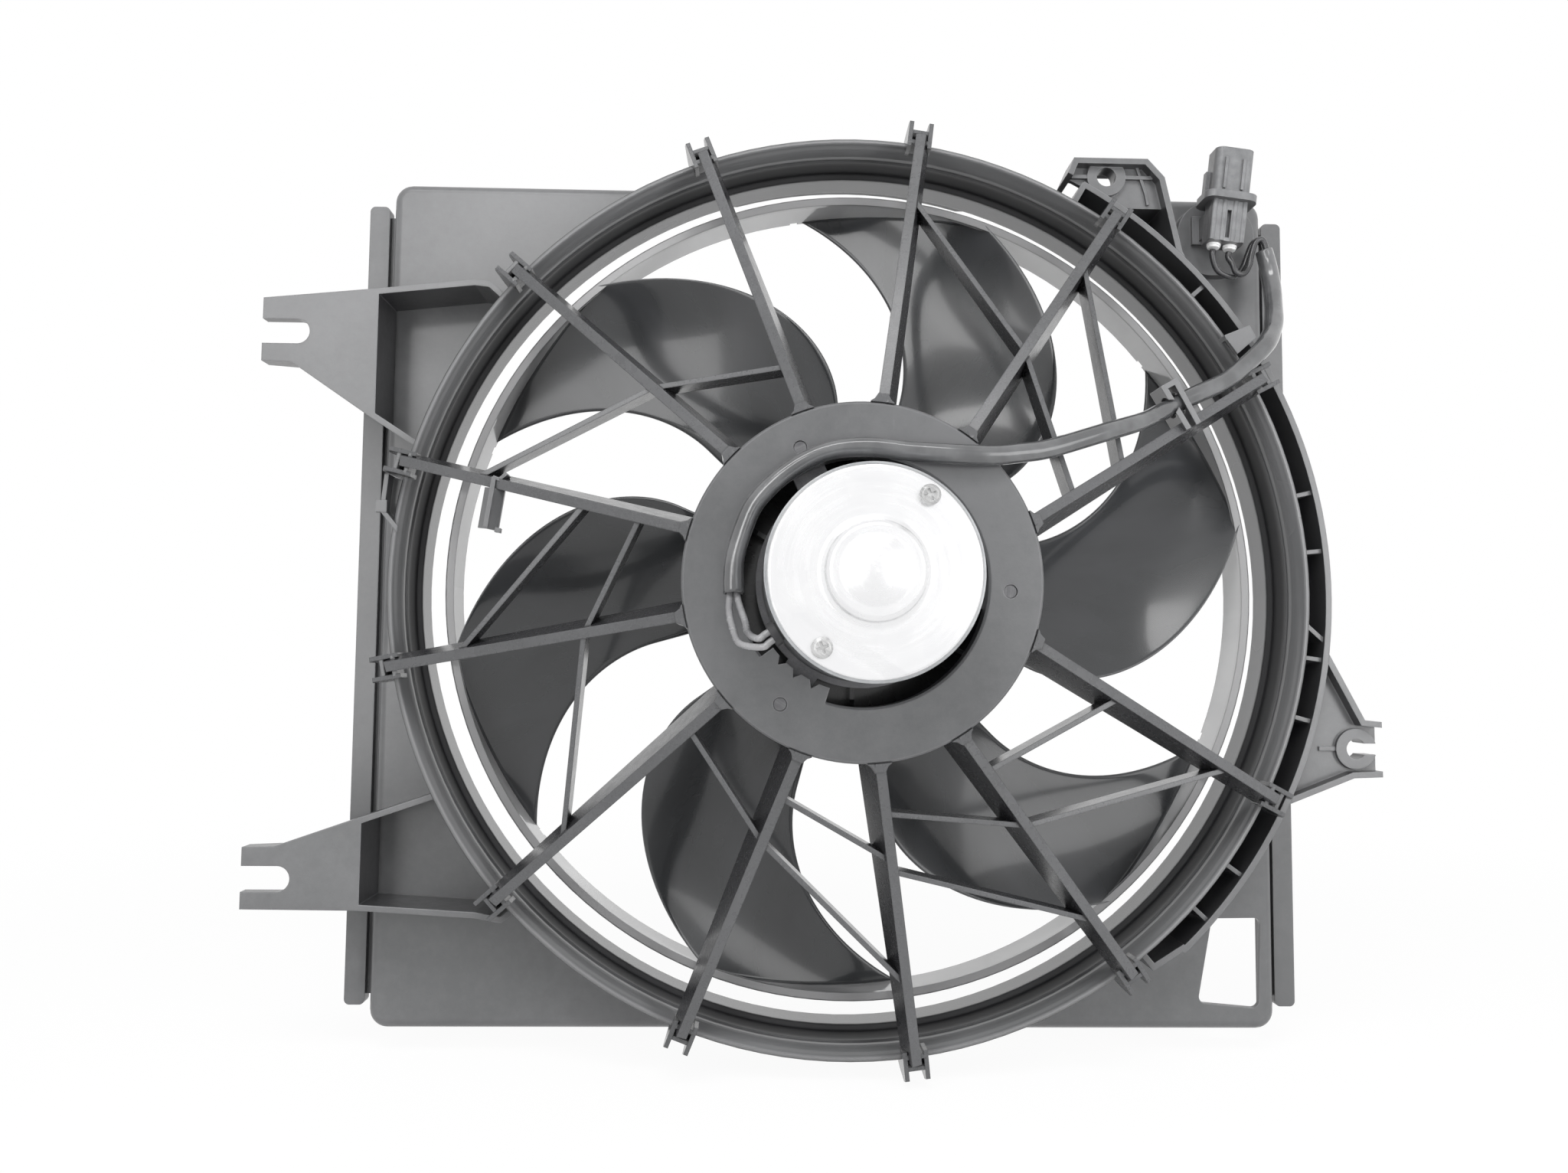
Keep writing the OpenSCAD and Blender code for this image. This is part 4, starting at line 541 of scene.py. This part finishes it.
perMetre = 1000.0                       # drawing millimetres in a metre
sideHint = Vector((0.1, 0.9, 0.2))      # no path starts along this


def stood(x, y, z):
    # Drawing millimetres, lying on the radiator face, to the standing model in metres
    return Vector((x, -z, y)) / perMetre


def smoothPath(points, steps):
    # Points added between those of a path, on a Catmull-Rom curve through them
    path = []
    for i in range(len(points) - 1):
        a, b = points[max(i - 1, 0)], points[i]
        c, d = points[i + 1], points[min(i + 2, len(points) - 1)]
        for k in range(steps):
            t = k / steps
            path.append(0.5 * (2 * b + (c - a) * t + (2 * a - 5 * b + 4 * c - d) * t * t
                               + (3 * b - a - 3 * c + d) * t ** 3))
    return path + [points[-1]]


def tubeMesh(path, radius, sides, wall=0.0, mouth=0.0):
    # Rings along a path. A wall makes both ends hollow, as deep as the mouth.
    frames = []
    across = None
    for i, point in enumerate(path):
        ahead = (path[min(i + 1, len(path) - 1)] - path[max(i - 1, 0)]).normalized()
        across = across or ahead.cross(sideHint)
        across = (across - ahead * across.dot(ahead)).normalized()
        frames.append((point, across.copy(), ahead.cross(across)))
    last = len(path) - 1
    turns = [k * 2 * math.pi / sides for k in range(sides)]

    def ring(i, shrink):
        point, u, v = frames[i]
        return [point + (u * math.cos(a) + v * math.sin(a)) * (radius(i / last, a) - shrink)
                for a in turns]

    inside = []
    if wall:
        reach = 0.0
        inside = [0]
        for i in range(1, len(path)):
            reach += (path[i] - path[i - 1]).length
            if reach > mouth:
                break
            inside.append(i)
    rings = [ring(i, wall) for i in reversed(inside)]
    rings += [ring(i, 0.0) for i in range(len(path))]
    rings += [ring(last - i, wall) for i in inside]
    points = [p for row in rings for p in row]
    faces = []
    for j in range(len(rings) - 1):
        for k in range(sides):
            a, b = j * sides + k, j * sides + (k + 1) % sides
            faces.append((a, b, b + sides, a + sides))
    faces.append(tuple(range(sides)))
    faces.append(tuple((len(rings) - 1) * sides + k for k in range(sides)))
    return points, faces


sleeve = {    # millimetres
    "width": 8.0, "wall": 0.7, "mouth": 8.0, "sides": 28, "steps": 6,
    "least": 0.91, "lump": 0.05, "oval": 0.04,            # shares of the width
    "lumps": 61, "drift": 23, "driftReach": 2, "twist": 17,    # how they change along it
    "path": [(-49, -6, 104), (-49, 6, 102.5), (-46, 18, 100.5), (-41, 29, 99), (-30, 40, 98.4),
             (-16, 48, 98.2), (0, 50.5, 98), (20, 49, 98), (46, 48, 97.6), (60, 49.5, 96),
             (72, 52, 93), (94, 59.5, 87), (112, 66, 79), (122, 71, 73.5), (131, 76, 70),
             (140, 80.5, 67.5), (153, 87, 63.5), (163, 95, 60.5), (171, 102.5, 57.5),
             (177, 109.5, 52), (181, 117, 46.5), (184, 127, 40), (186, 138, 34),
             (185.5, 148, 31.5), (184, 154, 31.5)],
}


def sleeveRadius(t, a):
    # Soft lumps and slightly oval places, never wider than the sleeve's own size
    wave = math.sin(t * sleeve["lumps"] + sleeve["driftReach"] * math.sin(t * sleeve["drift"]))
    lump = sleeve["lump"] * (0.5 + 0.5 * wave)
    oval = sleeve["oval"] * math.cos(2 * a + t * sleeve["twist"])
    return sleeve["width"] / 2 / perMetre * (sleeve["least"] + lump + oval)


sleevePath = smoothPath([stood(*p) for p in sleeve["path"]], sleeve["steps"])
sleeveSkin = tubeMesh(sleevePath, sleeveRadius, sleeve["sides"], sleeve["wall"] / perMetre,
                      sleeve["mouth"] / perMetre)
addPiece("lead_sleeve_smooth", *sleeveSkin, finishes["sleeve_plastic"], "shroud",
         "sleeve_plastic", "lead_sleeve")

grommet = {"turn": 212, "depth": 125.2, "apart": 1.6}    # degrees, then millimetres


def atGrommet(r, side):
    # Point on the line of one of the two holes in the motor's grommet
    turn = math.radians(grommet["turn"])
    off = side * grommet["apart"]
    return (r * math.cos(turn) - off * math.sin(turn), r * math.sin(turn) + off * math.cos(turn),
            grommet["depth"])


wires = {    # millimetres
    "width": 2.6, "sides": 20, "steps": 8,
    "motor": [[(-47.6, -2, 103.5), (-47.6, -7, 104.4), (-46.6, -11, 107), (-44.6, -16.5, 112),
               (-43.4, -21, 119), atGrommet(46, -1), atGrommet(42.5, -1), atGrommet(35, -1)],
              [(-50.4, -2, 103.5), (-50.4, -7, 104.4), (-50.6, -12, 108), (-49.4, -18, 113),
               (-46.4, -24.6, 120), atGrommet(46.5, 1), atGrommet(42.5, 1), atGrommet(35, 1)]],
    "connector": [[(160.1, 153.0, 34), (159.8, 150.6, 34), (161.6, 145.4, 33.2),
                   (165, 142.6, 32.6), (170.5, 142.2, 31.8),
                   (174.6, 146.4, 30.8), (177.2, 152.4, 30.2), (179.6, 157.6, 30),
                   (182.4, 159, 30), (184, 156, 30.1), (184.8, 151, 30.1)],
                  [(167.2, 152.1, 34), (166.9, 149.8, 34), (168.2, 146.2, 35.4),
                   (169.8, 142.6, 35.4), (173.4, 142.2, 34.8),
                   (176.2, 146.4, 34), (177.8, 152.4, 33.4), (179.8, 157.4, 33.1),
                   (182.4, 158.6, 33), (184, 156, 32.9), (184.8, 151, 32.9)]],
}


def addWires(name, paths, node):
    points, faces = [], []
    for path in paths:
        line = smoothPath([stood(*p) for p in path], wires["steps"])
        more, skin = tubeMesh(line, lambda t, a: wires["width"] / 2 / perMetre, wires["sides"])
        faces += [tuple(i + len(points) for i in face) for face in skin]
        points += more
    material = ownFinish.get(node, finishes["wire_jacket"])
    return addPiece(name, points, faces, material, "shroud", "wire_jacket", node)


addWires("motor_wires_smooth", wires["motor"], "motor_wires")
addWires("connector_wires_smooth", wires["connector"], "connector_wires")
print("lead and wires made")

fan = {    # millimetres and degrees
    "blades": 6, "firstLead": 15.5, "hubRadius": 64.0, "bandRadius": 172.0,
    "rootFrom": 30.8, "rootTo": 58.0, "tipFrom": 16.5, "tipTo": 37.9,    # depths of the edges
    "rootChord": 40.0, "tipChord": 28.0, "sweep": 21.5,
    "leadBend": 88.0, "trailBend": 80.0, "bendInset": 3.0, "bendPower": 1.7,
    "thick": 2.8, "edgeThick": 0.42, "fullness": 0.7, "edgeRound": 1.3, "camber": 0.055,
    "hubEdge": 6.0, "hubBack": 30.0,     # the hub's rounded back edge and its depth
    "sunk": 1.2,                         # how far a blade's ends go into the hub and the band
    "rows": 44, "points": 26,
}


def bent(r, start):
    # How far an edge has swung forward at a distance from the axis, 1 near the band
    end = fan["bandRadius"] - fan["bendInset"]
    return max(0.0, (r - start) / (end - start)) ** fan["bendPower"]


def bladeSection(r, s):
    # Angle, depth and half thickness of a blade at a distance from the axis and a chord share
    lead = fan["sweep"] * bent(r, fan["leadBend"])
    swing = fan["sweep"] + fan["rootChord"] - fan["tipChord"]
    trail = -fan["rootChord"] + swing * bent(r, fan["trailBend"])
    share = (r - fan["hubRadius"]) / (fan["bandRadius"] - fan["hubRadius"])
    leadZ = fan["rootFrom"] + (fan["tipFrom"] - fan["rootFrom"]) * share
    rise = fan["rootTo"] + (fan["tipTo"] - fan["rootTo"]) * share - leadZ
    chord = math.radians(lead - trail) * r
    slope = math.hypot(chord, rise) / chord
    arch = math.sin(math.pi * s)
    swell = fan["edgeThick"] + (1 - fan["edgeThick"]) * arch ** fan["fullness"]
    half = fan["thick"] * slope * swell / 2
    edge = half / chord * fan["edgeRound"]
    near = min(s, 1 - s)
    if near < edge:        # round the leading and trailing edges
        half *= math.sqrt(max(0.0, 1 - (1 - near / edge) ** 2))
    return lead + s * (trail - lead), leadZ + s * rise - fan["camber"] * chord * arch, half


def bladeStart(s):
    # Distance where a blade leaves the hub, less where it passes the hub's rounded back edge
    drop = max(0.0, fan["hubBack"] + fan["hubEdge"] - bladeSection(fan["hubRadius"], s)[1])
    inward = fan["hubEdge"] - math.sqrt(max(0.0, fan["hubEdge"] ** 2 - drop ** 2))
    return fan["hubRadius"] - fan["sunk"] - inward


def bladeMesh(turn):
    shares = [0.5 - 0.5 * math.cos(math.pi * k / fan["points"]) for k in range(fan["points"] + 1)]
    loop = [(s, 1) for s in shares] + [(s, -1) for s in shares[-2:0:-1]]
    end = fan["bandRadius"] - fan["sunk"]
    points = []
    for j in range(fan["rows"] + 1):
        for s, side in loop:
            start = bladeStart(s)
            r = start + (end - start) * j / fan["rows"]
            a, z, half = bladeSection(r, s)
            a = math.radians(a + turn)
            points.append(stood(r * math.cos(a), r * math.sin(a), z + side * half))
    n = len(loop)
    faces = [(j * n + k, j * n + (k + 1) % n, (j + 1) * n + (k + 1) % n, (j + 1) * n + k)
             for j in range(fan["rows"]) for k in range(n)]
    faces.append(tuple(range(n)))
    faces.append(tuple(fan["rows"] * n + k for k in range(n)))
    return points, faces


bladePoints, bladeFaces = [], []
for i in range(fan["blades"]):
    more, skin = bladeMesh(fan["firstLead"] + i * 360 / fan["blades"])
    bladeFaces += [tuple(k + len(bladePoints) for k in face) for face in skin]
    bladePoints += more
addPiece("fan_blades_smooth", bladePoints, bladeFaces, finishes["fan_plastic"], "fan",
         "fan_plastic", "fan_blades")
print("blades made:", fan["blades"])

stageLook = {
    "floorDrop": 0.002,                # metres under the part
    "floorSize": 9.0,
    "floorColour": (0.90, 0.90, 0.90),
    "floorShade": 0.985,               # brightness of its faint clouds
    "cloudScale": 2.0,
    "floorRough": 0.9,
    "white": (1.0, 1.0, 1.0),
    "showThrough": (0.94, 1.0),        # how far the floor fades to plain white, near and far
    "shadowReach": (0.25, 1.0),        # metres from the middle over which it fades
    "fill": 0.25,                      # strength of the even light from all round
}


def rayMask(f):
    # 1 for what the camera sees straight, in a mirror or through glass
    path = f.node("LightPath").socket.node
    camera, glossy, through = (Link(f, path.outputs[f"Is {kind} Ray"])
                               for kind in ("Camera", "Glossy", "Transmission"))
    return f.maths("MINIMUM", camera + glossy + through, 1.0)


def addFloor():
    f = Finish("paleFloor")
    seen = rayMask(f)
    pale = stageLook["floorColour"]
    shade = tuple(c * stageLook["floorShade"] for c in pale)
    colour = f.tint(f.noise(stageLook["cloudScale"], detail=2.0), pale, shade)
    matt = f.node("BsdfPrincipled", None,
                  {"Base Color": colour, "Roughness": stageLook["floorRough"]})
    white = f.node("Emission", None, {"Color": stageLook["white"], "Strength": 1.0})
    far = f.node("VectorMath", {"operation": "LENGTH"}, {0: f.place()}, "Value")
    fade = f.span(far, *stageLook["shadowReach"], *stageLook["showThrough"])
    f.end(f.node("MixShader", None, {0: seen * fade, 1: matt, 2: white}))
    low = cadBox[0].z - stageLook["floorDrop"]
    half = stageLook["floorSize"] / 2
    mesh = bpy.data.meshes.new("floor")
    mesh.from_pydata([(-half, -half, low), (half, -half, low), (half, half, low),
                      (-half, half, low)], [], [(0, 1, 2, 3)])
    mesh.materials.append(f.owner)
    floor = bpy.data.objects.new("floor", mesh)
    bpy.context.scene.collection.objects.link(floor)


def addWorld():
    f = Finish("studio", "World")
    strength = f.node("MapRange", None, {"Value": rayMask(f), "To Min": stageLook["fill"],
                                         "To Max": 1.0})
    white = {"Color": stageLook["white"], "Strength": strength}
    bpy.context.scene.world = f.end(f.node("Background", None, white))


lamps = [
    # name, place, aim, width, height, watts, seen in glossy surfaces
    ("overheadWash", (-0.16, -0.90, 0.90), (0.0, -0.05, 0.0), 1.0, 0.5, 12.5, False),
    ("overheadStrip", (-0.16, -0.80, 0.95), (0.0, -0.05, 0.0), 0.9, 0.14, 2.5, True),
    ("leftCard", (-0.64, -1.20, 0.16), (-0.15, 0.0, 0.04), 0.36, 0.80, 3.0, True),
    ("rightCard", (0.82, -1.20, -0.10), (0.15, 0.0, 0.0), 0.80, 1.30, 6.5, True),
    ("upperCard", (-0.34, -1.20, 0.62), (-0.10, 0.0, 0.12), 0.40, 0.30, 1.8, True),
    ("nearLeft", (-0.52, -0.62, 0.0), (-0.22, 0.0, 0.0), 0.16, 0.40, 1.2, False),
    ("nearRight", (0.50, -0.62, 0.0), (0.22, 0.0, 0.0), 0.16, 0.40, 2.8, False),
    ("sideBox", (0.95, -0.45, 0.25), (0.05, -0.05, 0.0), 0.30, 0.8, 2.5, False),
    ("backBox", (-0.50, 1.30, 0.40), (0.0, 0.0, 0.0), 0.8, 0.8, 4.0, False),
]


def turnTo(place, aim):
    # Turn that makes a lamp or a camera look from its place at its aim
    return (Vector(aim) - Vector(place)).to_track_quat("-Z", "Y")


def addLamp(name, place, aim, width, height, watts, mirrored):
    lamp = bpy.data.lights.new(name, "AREA")
    lamp.shape = "RECTANGLE"
    lamp.size, lamp.size_y = width, height
    lamp.energy = watts
    item = bpy.data.objects.new(name, lamp)
    item.location = place
    item.visible_glossy = mirrored
    item.rotation_euler = turnTo(place, aim).to_euler()
    bpy.context.scene.collection.objects.link(item)


camera = {
    "place": (-0.04174, -0.53527, -0.03227),   # metres, close in front of the fan
    "aim": (-0.02924, -0.060, -0.00025),
    "roll": 0.545,                             # degrees
    "lens": 26.83, "sensor": 36.0,             # millimetres
    "clip": (0.01, 50.0),
}


def addCamera():
    lens = bpy.data.cameras.new("camera")
    lens.lens = camera["lens"]
    lens.sensor_width = camera["sensor"]
    lens.sensor_fit = "HORIZONTAL"
    lens.clip_start, lens.clip_end = camera["clip"]
    item = bpy.data.objects.new("camera", lens)
    turn = turnTo(camera["place"], camera["aim"]).to_matrix()
    turn = turn @ Matrix.Rotation(math.radians(camera["roll"]), 3, "Z")
    item.matrix_world = Matrix.Translation(camera["place"]) @ turn.to_4x4()
    bpy.context.scene.collection.objects.link(item)
    bpy.context.scene.camera = item


addFloor()
addWorld()
for lamp in lamps:
    addLamp(*lamp)
addCamera()
bpy.context.scene.view_settings.view_transform = "Standard"
print("floor, light and camera set:", len(lamps), "lamps")
